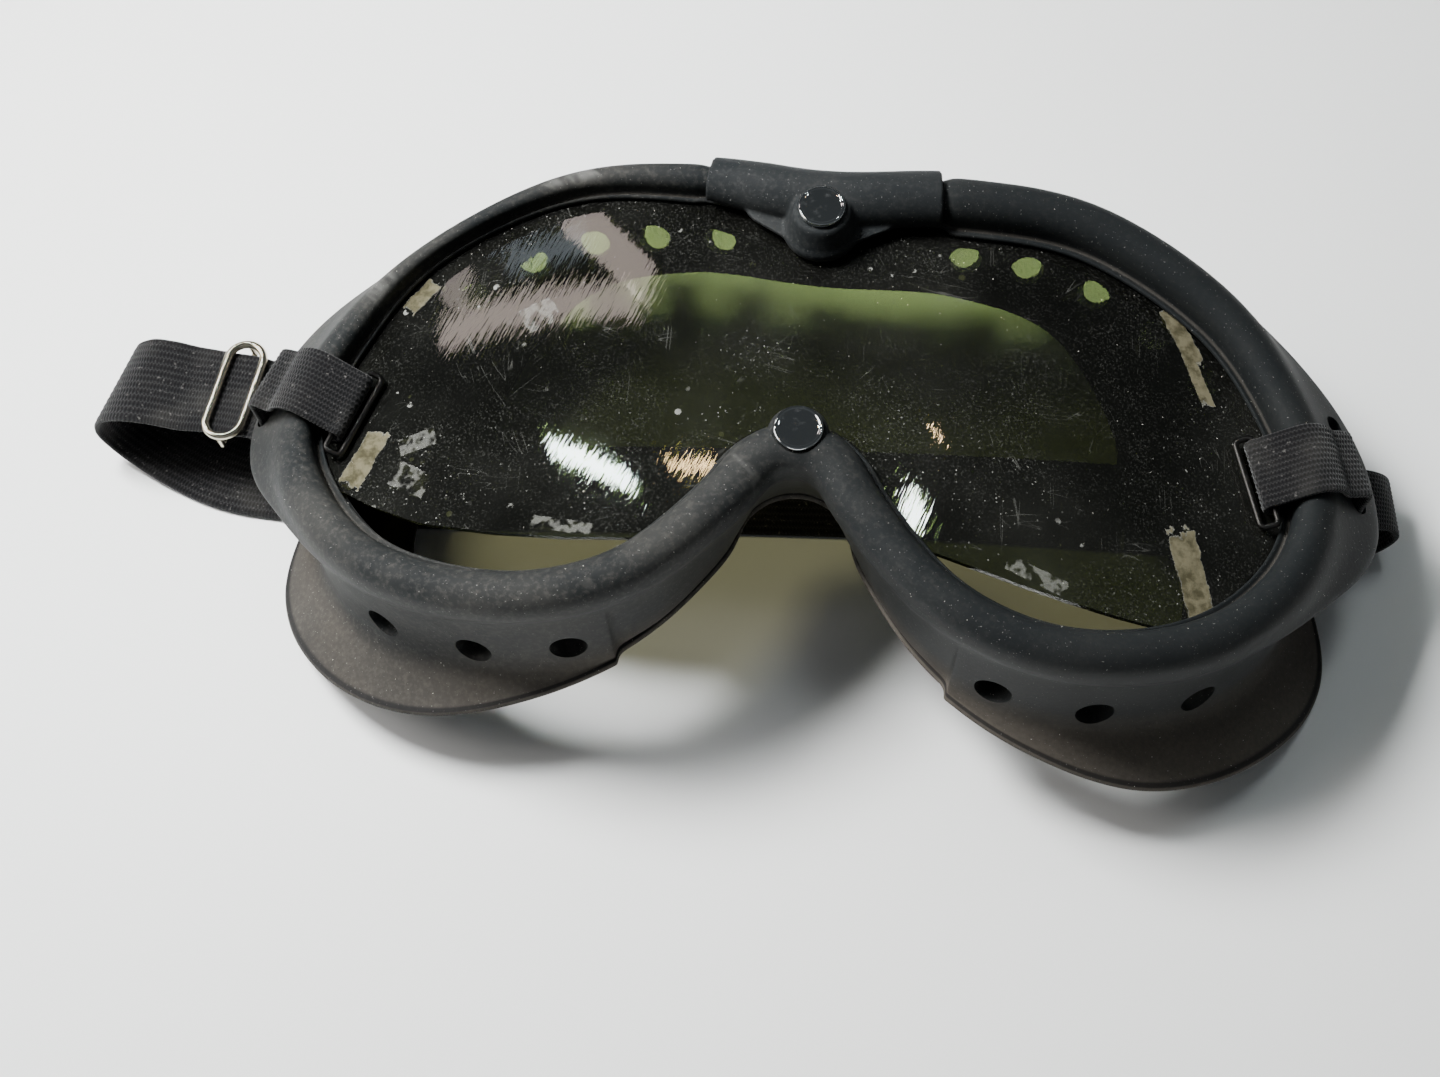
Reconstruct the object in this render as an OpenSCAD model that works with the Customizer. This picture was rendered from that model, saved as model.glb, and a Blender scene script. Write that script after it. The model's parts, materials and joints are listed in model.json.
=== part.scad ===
// Rubber-framed one-lens eye shield goggles with an elastic headband, lying on their face side.
// +X is to the wearer's left, +Y to the forehead, +Z out of the lens. Millimetres.

/* [Lens] */
// Radius that the lens and the rim are bent to
lens_radius = 260; // [230:5:320]
// Thickness of the lens sheet
lens_t = 1; // [0.8:0.1:1.2]
// Clearance of the lens in its groove, each side
lens_gap = 0.25; // [0.2:0.05:0.35]

/* [Rim] */
// Width of the rim, between the bead's centres at the temples
rim_w = 175; // [168:1:178]
// Height of the rim, between the bead's centres at the brow and the cheek
rim_h = 82.5; // [79:0.5:84]
// Radius of the round front bead
bead_r = 4.2; // [3.8:0.1:4.4]
// Radius of the bead under the top flap
bead_neck_r = 3.4; // [3:0.1:3.6]
// How far the thin front lip reaches in past the bead
front_lip = 1.6; // [1.2:0.1:1.8]
// How much the bead swells at the nose
nose_swell = 1; // [0.6:0.1:1.3]
// Thickness of the skirt's wall
wall_t = 2; // [1.6:0.1:2.6]
// Thickness of the lip behind the lens
lip_t = 1.3; // [1.1:0.1:1.6]
// How far the lip reaches in from the bead's centre
lip_reach = 6.4; // [6:0.2:7.4]
// Thickness of the face flange
flange_t = 1.6; // [1.2:0.1:2]
// Height of the bead's centre over the table, at the nose
front_h = 45.5; // [44:0.5:48]

/* [Vents and slots] */
// Radius of the vent holes along the forehead
top_vent_r = 3; // [2.4:0.1:3.4]
// Radius of the vent holes along the cheeks
cheek_vent_r = 3.2; // [2.4:0.1:3.6]
// How far behind the bead's centre the vents lie
vent_depth = 14; // [12:0.5:15]
// Length of the strap slot in each wing
slot_len = 18.4; // [17:0.2:19]
// How far the wearer's right slot reaches from its middle to the forehead
slot_top = 4.2; // [4:0.1:4.6]
// Width of the strap slot in each wing
slot_w = 3.2; // [2.8:0.1:3.4]
// Distance of the strap slot from the bead's centre
slot_n = 7.8; // [7.6:0.1:8.2]

/* [Top flap] */
// Half of the flap's length along the rim
flap_half = 20.5; // [18:0.5:22]
// Thickness of the flap
flap_t = 1.3; // [1.1:0.1:1.5]
// Clearance between the flap and the bead under it
flap_gap = 0.4; // [0.35:0.05:0.5]
// Radius of the flap's round boss at its foot
boss_r = 6.7; // [6.2:0.1:7.2]
// Distance of the top snap's axis from the bead's centre at the forehead
top_snap_in = 5.1; // [4.7:0.1:5.5]

/* [Nose] */
// Radius of the rim's round pad at the nose
pad_r = 5.1; // [4.8:0.1:5.6]
// Distance of the nose snap's axis from the bead's centre at the nose
nose_snap_in = 1.8; // [1.6:0.1:2.2]

/* [Snaps] */
// Radius of the snap caps
cap_r = 4.1; // [3.8:0.1:4.3]
// Thickness of the snap caps
cap_t = 1.2; // [1:0.1:1.5]
// Radius of the stud's ball
ball_r = 1.4; // [1.2:0.1:1.5]
// Radius of the sockets and of the studs' base discs
socket_r = 2.7; // [2.6:0.1:2.9]
// Radius of the shanks that hold the snaps in the rubber
shank_r = 1.1; // [0.9:0.1:1.2]
// Clearance between parts of a snap that don't move
snug = 0.06; // [0.04:0.01:0.1]

/* [Headband] */
// Width of the elastic headband
band_w = 18; // [16:0.5:18.5]
// Width of the headband where it is drawn together at its ends
band_end_w = 12.4; // [11.4:0.2:12.8]
// How far the band's ends lie to the cheek side of the slots' middle
band_shift = 2.6; // [2.2:0.1:2.7]
// Width of the headband where the slider draws it in
slider_band_w = 17.2; // [16.6:0.2:17.6]
// Thickness of the elastic headband
band_t = 1.2; // [1:0.1:1.3]
// Radius of the links' wire
link_wire_r = 0.55; // [0.45:0.05:0.6]
// Length of the links across the band, over the wire
link_len = 17.2; // [16.8:0.2:17.4]
// Width of the links along the band, between their long bars' centres
link_w = 3; // [3:0.2:3.8]
// How far the links lie to the cheek side of the band's ends
link_shift = 0.7; // [0:0.1:0.8]
// Radius of the slider's wire
ring_wire_r = 0.75; // [0.6:0.05:0.85]
// Length of the slider across the band, over the wire
ring_len = 21.6; // [21.2:0.2:22.6]
// Width of the slider along the band, over the wire
ring_w = 8.4; // [7.6:0.2:9]
// Clearance between the headband and what it runs over
band_gap = 0.3; // [0.25:0.05:0.35]

/* [Hidden] */

// Half of the frame, from the forehead's centre round to the nose:
// [x, y, wing, lip, crease out, crease height, flange out, flange height, inner edge out, its height]
half = [
    [0, 44, 0, 2.2, 3, 23, 9, 20, -3, 22],
    [25, 46.5, 0, 0, 3, 22, 9, 19, -5, 21],
    [48, 45, 0, 0, 3, 19, 10, 14, -11, 19],
    [70.5, 33, 0.2, 0, 3, 11, 11, 0.4, -22, 13],
    [83, 16, 0.85, 0, 1, 9, 4, 6, -28, 11],
    [87.5, 0, 1, 0, -1, 9, 2.5, 6, -25, 10.5],
    [84, -14, 0.3, 0, 2, 7.5, 13, 0.4, -19, 10],
    [73, -27, 0, 0, 4, 13, 15.6, 8.5, -9, 13.5],
    [58, -34.5, 0, 0, 4.5, 18, 14.6, 14, -2, 18],
    [41, -36, 0, 0, 4.5, 21.5, 8.8, 19, -1, 21.5],
    [25, -30, 0, 0, 3.8, 23, 4.8, 22, -0.4, 23],
    [12, -17, 0, 0.4, 1.2, 23, 2, 22.3, -3, 23],
    [6, -8.9, 0, 1.2, -1.4, 22.5, -0.8, 22, -6, 22.6],
    [0, -6.6, 0, 2, -2.5, 22.3, -1.8, 21.8, -6.5, 22.4]
];
last = len(half) - 1;
// Where the wearer's right side, bent with wear, departs from the half: [row, x, y, wing, flange out]
worn = [
    [1, 25, 47.8, 0, 9], [2, 48, 46.4, 0, 10], [3, 71.2, 33.8, 0, 11], [4, 84.4, 16.4, 0.66, 4],
    [5, 89.6, -0.3, 0.78, 0.5], [6, 85, -14.4, 0.2, 12], [7, 73, -27, 0, 15.4], [8, 58, -33.4, 0, 14.2],
    [9, 41, -34.8, 0, 8.6], [10, 25, -29.5, 0, 4.6]
];
function worn_row(i) = let (k = search(i, worn), w = len(k) > 0 ? worn[k[0]] : [])
    len(k) > 0 ? [for (j = [0:9]) j < 3 ? w[j + 1] : j == 6 ? w[4] : half[i][j]] : half[i];
// The tables are set out for a rim of this size, and their places scale to the width and height given
table_w = 175;
table_h = 82.5;
wide = rim_w / table_w;
tall = rim_h / table_h;
function fitted(row, side) = [for (j = [0:9]) j == 0 ? side * row[0] * wide : j == 1 ? row[1] * tall : row[j]];
loop = concat([for (row = half) fitted(row, 1)], [for (i = [last - 1:-1:1]) fitted(worn_row(i), -1)]);
steps = 4;
top_snap_y = loop[0][1] - top_snap_in;
nose_snap_y = loop[last][1] + nose_snap_in;

// Smooth curve through the rows, at place u, where whole numbers are the rows
function row_at(i) = loop[(i + 2 * len(loop)) % len(loop)];
function blend4(a, b, c, d, t) =
    0.5 * (2 * b + (c - a) * t + (2 * a - 5 * b + 4 * c - d) * t * t + (3 * b - a - 3 * c + d) * t * t * t);
function at(u) = let (i = floor(u), t = u - i)
    blend4(row_at(i - 1), row_at(i), row_at(i + 1), row_at(i + 2), t);
function unit(v) = v / norm(v);
function heading(u) = let (a = at(u - 0.04), b = at(u + 0.04)) unit([b[0] - a[0], b[1] - a[1]]);
function outward(u) = let (t = heading(u)) [-t[1], t[0]];

// Height at x of the cylinder that the lens is bent to, moved out by d; the bead's centre is on it where d is 0
function surface_h(x, d) = front_h - lens_radius + sqrt(pow(lens_radius + d, 2) - x * x);
// A point out from the bead's centre by n, at height z over the table
function place(u, n, z) = let (p = at(u), o = outward(u)) [p[0] + o[0] * n, p[1] + o[1] * n, z];
// A point out from the bead's centre by n, at d over the bent surface through the bead's centre
function front(u, n, d) = let (p = place(u, n, 0)) [p[0], p[1], surface_h(p[0], d)];

// How much slimmer the bead is at places back from the forehead's centre, round the wearer's right
slim_at = [[0, 0], [0.4, 0.3], [0.85, 1.2], [0.88, 1.6], [1.8, 2.3], [2.6, 2.7], [3, 2.6], [3.4, 2.1],
    [3.8, 1.3], [4.1, 1], [5, 0.7], [6, 0]];
function slim(u) = let (v = len(loop) - u) v > 0 && v < 6 ? lookup(v, slim_at) : 0;

groove_d = 3.1;
groove_n = 1.2;
lens_front = groove_d + lens_gap;
lip_d = groove_d + lens_t + 2 * lens_gap;
bed_half = flap_half + 0.7;
function mix(a, b, f) = a + (b - a) * f;
function on_bed(p) = p[1] > 20 && abs(p[0]) < bed_half + 0.1;

// The frame's section at place u, over the bead and the wing or the flap's root, and down to the lip
outer_plain = [[4.1, -0.9], [4, -1.6], [3.8, -2.4], [3.5, -3.4], [3, -4.6]];
outer_wing = [[7.5, -0.9], [12.8, -3.6], [13.4, -4.6], [12.4, -6.2], [5, -7.5]];
outer_root = [[3.45, -0.2], [5.1, -0.5], [5.5, -2.2], [5.1, -5], [3.4, -8]];
function rim(u) =
    let (
        p = at(u),
        bed = on_bed(p),
        thin = slim(u),
        r = (bed ? bead_neck_r : bead_r + (p[1] < 0 ? nose_swell * max(0, 1 - abs(p[0]) / 16) : 0)) - thin,
        reach = bed ? r + 0.5 + thin * 0.3 : r + front_lip * (1 - thin / 5.4),
        wing = max(0, min(1, p[2]))
    ) concat(
        [front(u, -reach + 0.4, -groove_d), front(u, -reach, -groove_d + 0.4)],
        [front(u, -reach + 0.4, -groove_d + 1)],
        [front(u, bed ? -r : -r - 0.2, -groove_d + (bed ? 1.1 : 0.9)), front(u, -r + 0.1, -1.6)],
        [for (a = [180:-30:30]) front(u, r * cos(a), r * sin(a))],
        [for (i = [0:4])
            let (side = (bed ? outer_root[i] : outer_plain[i]) - [thin, 0], q = mix(side, outer_wing[i], wing))
            front(u, q[0], q[1])]
    );
// The flange ends in a corner on both sides of the nose, where the skirt's edge steps in
arch_step = 1.6;
arch_u = 9.7;
function on_arch(u) = u > arch_u && u < len(loop) - arch_u;
function skirt(u) =
    let (
        p = at(u),
        z0 = surface_h(p[0], 0),
        step = on_arch(u) ? arch_step : 0,
        cn = p[4] - step, ch = p[5], fn = max(p[6] - step, cn + 0.6), fh = p[7], hn = p[8], hh = p[9],
        half_t = flange_t / 2
    ) [
        place(u, mix(3 - slim(u), cn, 0.6) + 0.2, mix(z0 - 6, ch, 0.55)),
        place(u, cn + 0.3, ch + 1.4),
        place(u, mix(cn, fn, 0.35), mix(ch, fh, 0.3) + half_t * 1.1),
        place(u, fn - 0.4, fh + half_t),
        place(u, fn, fh),
        place(u, fn - 0.5, fh - half_t),
        place(u, mix(cn, fn, 0.1), mix(ch, fh, 0.25) - half_t),
        place(u, hn + 0.4, hh - half_t),
        place(u, hn, hh),
        place(u, hn + 0.5, hh + half_t),
        place(u, min(cn - wall_t, 1) - 0.4, max(ch + 1.8, hh + half_t + 0.4)),
        place(u, mix(1, cn - wall_t, 0.5), mix(z0 - lip_d - lip_t - 0.6, ch, 0.5))
    ];
function lip(u) =
    let (reach = lip_reach + max(0, at(u)[3]), back = -lip_d - lip_t) [
        front(u, 1, back - 0.8),
        front(u, -1.4, back),
        front(u, -reach + 0.3, back + 0.2),
        front(u, -reach, back + lip_t / 2),
        front(u, -reach + 0.3, -lip_d),
        front(u, -groove_n, -lip_d),
        front(u, -groove_n, -groove_d)
    ];
// Extra sections make the bead's shoulders at both ends of the flap's bed
row_step = 25.2 * wide;
bed_u = bed_half / row_step;
shoulder_u = bed_u + 0.04;
stations = concat(
    [0, 0.25, 0.5, 0.75, bed_u, shoulder_u],
    [for (i = [steps:floor(arch_u * steps)]) i / steps],
    [arch_u - 0.02, arch_u + 0.02],
    [for (i = [ceil(arch_u * steps):floor((len(loop) - arch_u) * steps)]) i / steps],
    [len(loop) - arch_u - 0.02, len(loop) - arch_u + 0.02],
    [for (i = [ceil((len(loop) - arch_u) * steps):(len(loop) - 1) * steps]) i / steps],
    [len(loop) - shoulder_u, len(loop) - bed_u],
    [for (f = [0.75, 0.5, 0.25]) len(loop) - f]
);

// A closed tube of sections, each joined to the next and the last to the first
module skin_loop(rings) {
    n = len(rings);
    m = len(rings[0]);
    polyhedron(
        [for (r = rings) each r],
        [for (i = [0:n - 1]) for (j = [0:m - 1])
            let (k = (j + 1) % m, next = (i + 1) % n, a = i * m + j, b = i * m + k, c = next * m + k, d = next * m + j)
            each [[a, b, c], [a, c, d]]],
        convexity = 12);
}
// An open tube of sections with a flat end at each side, closed by strips across the section
module skin_open(rings) {
    n = len(rings);
    m = len(rings[0]);
    end = (n - 1) * m;
    polyhedron(
        [for (r = rings) each r],
        concat(
            [for (i = [0:n - 2]) for (j = [0:m - 1])
                let (a = i * m + j, b = i * m + (j + 1) % m, c = (i + 1) * m + (j + 1) % m, d = (i + 1) * m + j)
                each [[a, b, c], [a, c, d]]],
            [for (j = [0:m / 2 - 2]) each [[j + 1, j, m - 1 - j], [j + 1, m - 1 - j, m - 2 - j]]],
            [for (j = [0:m / 2 - 2]) each [[end + j, end + j + 1, end + m - 1 - j],
                [end + j + 1, end + m - 2 - j, end + m - 1 - j]]]),
        convexity = 12);
}
module both_sides() {
    children();
    mirror([1, 0, 0]) children();
}

// Places along the frame, in rows, of the vents and of the strap slot
top_vents = [1.1, 1.6, 2.12, 2.6, 3.08];
cheek_vents = [7.4, 8.4, 9.3];
slot_u = 4.5;
// The slot's place on either side, and how far its wing turns from straight across
function slot_at(side) = side > 0 ? slot_u : len(loop) - slot_u;
function slot_turn(side) = let (o = outward(slot_at(side))) atan2(o[1], side * o[0]);

module vent(u, r) {
    o = outward(u);
    translate(front(u, 0, -vent_depth)) rotate([0, 0, atan2(o[1], o[0])])
        rotate([0, 90, 0]) translate([0, 0, -5]) cylinder(r = r, h = 20, $fn = 24);
}
module strap_slot(side) {
    reach = side > 0 ? slot_len / 2 : slot_top;
    translate(place(slot_at(side), slot_n, 12)) mirror([side < 0 ? 1 : 0, 0, 0]) rotate([0, 0, slot_turn(side)])
        translate([-slot_w / 2, -slot_len / 2, 0]) cube([slot_w, slot_len / 2 + reach, 30]);
}

// A length past the whole part, for cuts right through it
far = rim_w;
// Heights of the snaps' parts, up from the table
tab_front = front_h - lip_d;
tab_back = tab_front - lip_t;
base_t = 0.5;
ball_h = tab_front + 2.2;
socket_h = ball_h - 0.9;
socket_t = 2.5;
top_seat_h = front_h + 4.2;
nose_seat_h = front_h + 4.1;
// Hole through the rubber for a snap's shank, and a pocket behind for its post's head
module shank_hole(y) {
    translate([0, y, tab_back - 1.4]) cylinder(r = shank_r + snug, h = 20, $fn = 32);
    translate([0, y, tab_back - 1.4]) cylinder(r = socket_r, h = 1.4, $fn = 48);
}
// The cap's seat, sunk in the rubber round it
module cap_seat(y, seat) {
    translate([0, y, seat]) cylinder(r = cap_r + 0.25, h = 12, $fn = 64);
}
module socket_hole(y) {
    translate([0, y, socket_h - 20]) cylinder(r = socket_r + 0.1, h = 20 + socket_t + snug, $fn = 48);
}
// The rim's pocket lets the top socket out as the flap swings up and back
module socket_pocket() {
    room = 0.6;
    translate([0, top_snap_y, tab_front]) cylinder(r = socket_r + room, h = 20, $fn = 48);
    translate([0, top_snap_y + 0.8, socket_h + room / 2]) cylinder(r = socket_r + room, h = 20, $fn = 48);
}

module frame() {
    color([0.13, 0.13, 0.13]) difference() {
        union() {
            skin_loop([for (u = stations) concat(rim(u), skirt(u), lip(u))]);
            nose_pad();
        }
        both_sides() {
            for (u = top_vents) vent(u, top_vent_r);
            for (u = cheek_vents) vent(u, cheek_vent_r);
        }
        for (side = [-1, 1]) strap_slot(side);
        shank_hole(nose_snap_y);
        shank_hole(top_snap_y);
        socket_pocket();
        cap_seat(nose_snap_y, nose_seat_h);
        translate([0, nose_snap_y, tab_front])
            cylinder(r = socket_r + 0.1, h = socket_h + socket_t + snug - tab_front, $fn = 48);
        // The table's plane trims the flange's lowest places
        translate([-far, -far, -far]) cube([2 * far, 2 * far, far]);
    }
}
// Round pad of the rim at the nose, over the lens
module nose_pad() {
    top = nose_seat_h - front_h;
    translate([0, nose_snap_y, front_h]) rotate_extrude($fn = 64)
        polygon([[0, -groove_d], [pad_r - 0.4, -groove_d], [pad_r, -groove_d + 0.5], [pad_r, top - 1.2],
            [pad_r - 0.35, top - 0.4], [pad_r - 1, top], [0, top]]);
}

// The lens fills the groove all round, except along both cheeks, where it has come out of it
low_edge = [
    [-100, -10.8], [-83, -10.8], [-73, -16.1], [-63, -20], [-50, -21.9], [-38, -22.6], [-25, -22.3], [-15, -20.5],
    [0, -60], [15, -19], [21, -19.9], [30, -22.2], [38, -24.2], [47, -26], [55, -27.2], [63, -27.7],
    [70, -25], [76, -20], [83, -12], [100, -12]
];
lens_rows = [for (i = [0:len(loop) * steps - 1]) place(i / steps, -groove_n - 0.4, 0)];
lens_outline = [for (p = lens_rows) [p[0], max(p[1], p[1] < 0 ? tall * lookup(p[0] / wide, low_edge) : -100)]];
module bent(depth, h) {
    translate([0, h / 2, front_h - lens_radius]) rotate([90, 0, 0])
        cylinder(r = lens_radius - depth, h = h, $fn = 360);
}
module lens() {
    color([0.1, 0.14, 0.08]) difference() {
        intersection() {
            translate([0, 0, front_h - 40]) linear_extrude(40) polygon(lens_outline);
            bent(lens_front, far);
        }
        bent(lens_front + lens_t, far + 1);
        for (y = [top_snap_y, nose_snap_y]) translate([0, y, 0])
            cylinder(r = socket_r + 2 * lens_gap, h = far, $fn = 48);
    }
}

// The flap wraps over the rim's neck and hinges along its rear edge
flap_in = bead_neck_r + flap_gap;
flap_angles = [4, 25, 47, 70, 92, 115, 138, 160, 180, 198];
function flap_ring(u) = let (r = flap_in - slim(u)) concat(
    [for (a = flap_angles) front(u, r * cos(a), r * sin(a))],
    [for (a = backwards(flap_angles)) front(u, (r + flap_t) * cos(a), (r + flap_t) * sin(a))]
);
// The bed is the round neck with room for the front lip below it
function bed_ring(u, r) = concat(
    [for (a = [0:-22.5:-67.5]) front(u, r * cos(a), r * sin(a))],
    [front(u, -r - 0.3, -r - 0.1), front(u, -r - 0.3, -1.75)],
    [for (a = [-180:-22.5:-337.5]) front(u, r * cos(a), r * sin(a))]
);
function spread(reach, n) = [for (i = [-n:n]) len(loop) + i / n * reach];
flap_u = flap_half / row_step;
module top_flap() {
    color([0.15, 0.15, 0.15]) difference() {
        union() {
            skin_open([for (u = spread(flap_u, 5)) flap_ring(u)]);
            difference() {
                union() {
                    boss();
                    boss_web();
                }
                skin_open([for (u = spread(flap_u, 5)) bed_ring(u, flap_in - slim(u) + 0.2)]);
            }
        }
        shank_hole(top_snap_y);
        socket_hole(top_snap_y);
        cap_seat(top_snap_y, top_seat_h);
    }
}
module boss() {
    top = top_seat_h - front_h;
    foot = -lens_front + 0.8;
    translate([0, top_snap_y, front_h]) rotate_extrude($fn = 64)
        polygon([[0, foot], [boss_r - 0.5, foot], [boss_r, foot + 0.5], [boss_r, foot + 1.8],
            [boss_r - 0.5, foot + 2.7], [cap_r + 1, top - 0.5], [cap_r + 0.6, top], [0, top]]);
}

// The flap's lower edge runs out to the boss on both sides
module boss_web() {
    web_t = 1.7;
    web_reach = 12;
    foot_r = 1.4;
    foot_h = 0.9;
    edge = at(0)[1] - flap_in;
    translate([0, 0, front_h - lens_front + 0.8]) hull() {
        translate([0, top_snap_y, 0]) cylinder(r = boss_r - 0.3, h = web_t, $fn = 32);
        for (s = [-1, 1]) translate([s * web_reach, edge + 0.6, foot_h])
            cylinder(r = foot_r, h = web_t - foot_h, $fn = 32);
    }
}

// A cap with its rolled edge and the shank that holds it
module snap_cap(y, seat) {
    color([0.75, 0.76, 0.78]) translate([0, y, seat + snug]) {
        rotate_extrude($fn = 64)
            polygon([[0, 0], [cap_r - 0.5, 0], [cap_r - 0.1, 0.25], [cap_r, 0.6], [cap_r - 0.15, cap_t - 0.25],
                [cap_r - 0.45, cap_t], [cap_r - 0.85, cap_t - 0.12], [0, cap_t - 0.2]]);
        drop = seat - socket_h - socket_t;
        translate([0, 0, -drop]) cylinder(r = shank_r, h = drop, $fn = 32);
    }
}
// The socket's cup, open to the stud, with a groove for its spring
cup_r = ball_r + 0.45;
module snap_socket(y) {
    color([0.6, 0.58, 0.52]) translate([0, y, socket_h]) rotate_extrude($fn = 48)
        polygon([[cup_r, 0], [socket_r, 0], [socket_r, socket_t], [0, socket_t], [0, socket_t - 0.35],
            [cup_r, socket_t - 0.35], [cup_r, 1.05], [cup_r + 0.35, 1.05], [cup_r + 0.35, 0.35], [cup_r, 0.35]]);
}
// The spring is a split ring of wire in the cup's groove
module snap_spring(y) {
    color([0.7, 0.7, 0.7]) translate([0, y, socket_h + 0.7]) rotate([0, 0, 200])
        rotate_extrude(angle = 320, $fn = 48) translate([cup_r + 0.07, 0]) circle(r = 0.22, $fn = 16);
}
post_r = shank_r * 0.55;
stud_r = 1.2;
head_r = socket_r - 0.2;
// The stud stands on the lip's tab behind the lens
module snap_stud(y) {
    neck = ball_h - tab_front;
    color([0.7, 0.7, 0.72]) translate([0, y, tab_front + snug]) rotate_extrude($fn = 48)
        polygon(concat(
            [[post_r + snug, 0], [head_r, 0], [head_r, base_t], [stud_r, base_t], [stud_r, neck - 0.9]],
            [for (a = [-40:20:60]) [ball_r * cos(a), neck + ball_r * sin(a) * 0.75]],
            [[0, neck + ball_r * 0.75], [0, neck - 0.2], [post_r + snug, neck - 0.2]]));
}
// The post's flat head lies behind the tab and its shank goes up into the stud
module snap_post(y) {
    color([0.6, 0.58, 0.52]) translate([0, y, tab_back - base_t - snug]) {
        cylinder(r = head_r, h = base_t, $fn = 48);
        cylinder(r = post_r, h = base_t + lip_t + 2, $fn = 32);
    }
}

// Wire link: a rectangle with round corners, lying on the lens against the bead
link_n = -9;
bar_d = -lens_front + 2 * band_gap + band_t + link_wire_r;
rest_d = -lens_front + band_gap + link_wire_r;
function shifted(side, n, d, shift = band_shift) =
    let (u = slot_at(side), p = front(u, n, d), t = side * heading(u))
    [p[0] + t[0] * shift, p[1] + t[1] * shift, p[2]];
function link_bar(side) = shifted(side, link_n, bar_d, band_shift + link_shift);
function link_rest(side) = shifted(side, link_n - link_w, rest_d, band_shift + link_shift);
function link_tilt(side) = atan2(link_rest(side)[2] - link_bar(side)[2], link_w);
// How much the bent surface rises along the slot, toward the forehead
function slot_rise(side) = let (x = abs(at(slot_at(side))[0]))
    sin(slot_turn(side)) * x / sqrt(pow(lens_radius, 2) - x * x);
corner_r = 1;
module wire_loop(w, l, r, corner) {
    for (sx = [0, 1]) for (sy = [0, 1]) mirror([sx, 0, 0]) mirror([0, sy, 0]) {
        translate([w / 2 - corner, l / 2 - corner, 0]) rotate_extrude(angle = 90, $fn = 48)
            translate([corner, 0]) circle(r = r, $fn = 24);
        translate([w / 2, 0, 0]) rotate([-90, 0, 0]) cylinder(r = r, h = l / 2 - corner, $fn = 24);
        translate([0, l / 2, 0]) rotate([0, 90, 0]) cylinder(r = r, h = w / 2 - corner, $fn = 24);
    }
}
module link(side) {
    color([0.3, 0.3, 0.31]) translate(link_bar(side)) mirror([side < 0 ? 1 : 0, 0, 0])
        rotate([atan(slot_rise(side)), link_tilt(side), slot_turn(side)]) translate([-link_w / 2, 0, 0])
        wire_loop(link_w, link_len - 2 * link_wire_r, link_wire_r, corner_r);
}

// The headband's route: [x, y, z, width, turn of its width from +Y, rise of its width]
fold_r = link_wire_r + band_gap + band_t / 2;
// The bead bends away under the band's width, which takes a little more room
bend_room = 0.2;
over_r = bead_r + band_gap + bend_room + band_t / 2;
run_h = band_t / 2 + 0.1;
// How far the band's sewn tail runs back under the link
tail = 1.6;
function end_point(side, n, d) =
    concat(shifted(side, n, d), [band_end_w, -side * slot_turn(side), slot_rise(side)]);
function drop_point(side, n, z) =
    let (p = shifted(side, n, 0)) [p[0], p[1], z, band_end_w, -side * slot_turn(side), 0];
// Heights of the drop behind each wing
drop_h = [31, 27, 23, 19.6];
function band_end(side) = concat(
    [end_point(side, link_n + tail, bar_d - fold_r)],
    [for (a = [-90:-36:-270]) end_point(side, link_n + fold_r * cos(a), bar_d + fold_r * sin(a))],
    [for (a = [125:-22:37]) end_point(side, over_r * cos(a), over_r * sin(a))],
    [for (z = drop_h) drop_point(side, slot_n, z)]
);
slider_h = 15.2;
left_loop = [
    [-97.3, 8.7, 17, 12.8, 18], [-99.6, 9.9, 15.7, 14.6, 12], [-102.4, 11.4, slider_h, 16.6, 6],
    [-106, 12.3, slider_h, slider_band_w, 0], [-110.5, 12.7, slider_h, slider_band_w, 0],
    [-117, 13, slider_h, band_w, 0], [-122, 13, 16.6, band_w, 4], [-126.5, 12.9, 17, band_w, 8],
    [-130.8, 13.2, 14.6, band_w, 12],
    [-133, 13.4, 9.6, band_w, 12], [-131, 12.6, 5, band_w, 12], [-126, 10.4, 2.2, band_w, 8],
    [-118, 6.8, 0.9, band_w, 4], [-109, 3.9, run_h, band_w, 0], [-98, 3, run_h, band_w, 0]
];
under_run = [
    [-80, 3.4, run_h, band_w, 0], [-55, 4.9, run_h, band_w, 0], [-28, 7, run_h, band_w, 0],
    [0, 8.9, run_h, band_w, 0], [28, 10.3, run_h, band_w, 0],
    [55, 11, run_h, band_w, 0], [80, 11.1, run_h, band_w, 0]
];
right_loop = [
    [93, 11.1, run_h, band_w, 0], [99.2, 11.1, 1.7, 16.4, -2], [104.2, 11.1, 4.4, 13.6, -4],
    [106.4, 11, 8.4, 11.8, -6], [104.8, 10.7, 12, 11.6, -8], [101, 10, 14.2, 12, -11],
    [97.4, 8.9, 15.4, 12.4, -14], [95.1, 7.9, 17, 12.4, -16]
];
function backwards(list) = [for (i = [len(list) - 1:-1:0]) list[i]];
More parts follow.
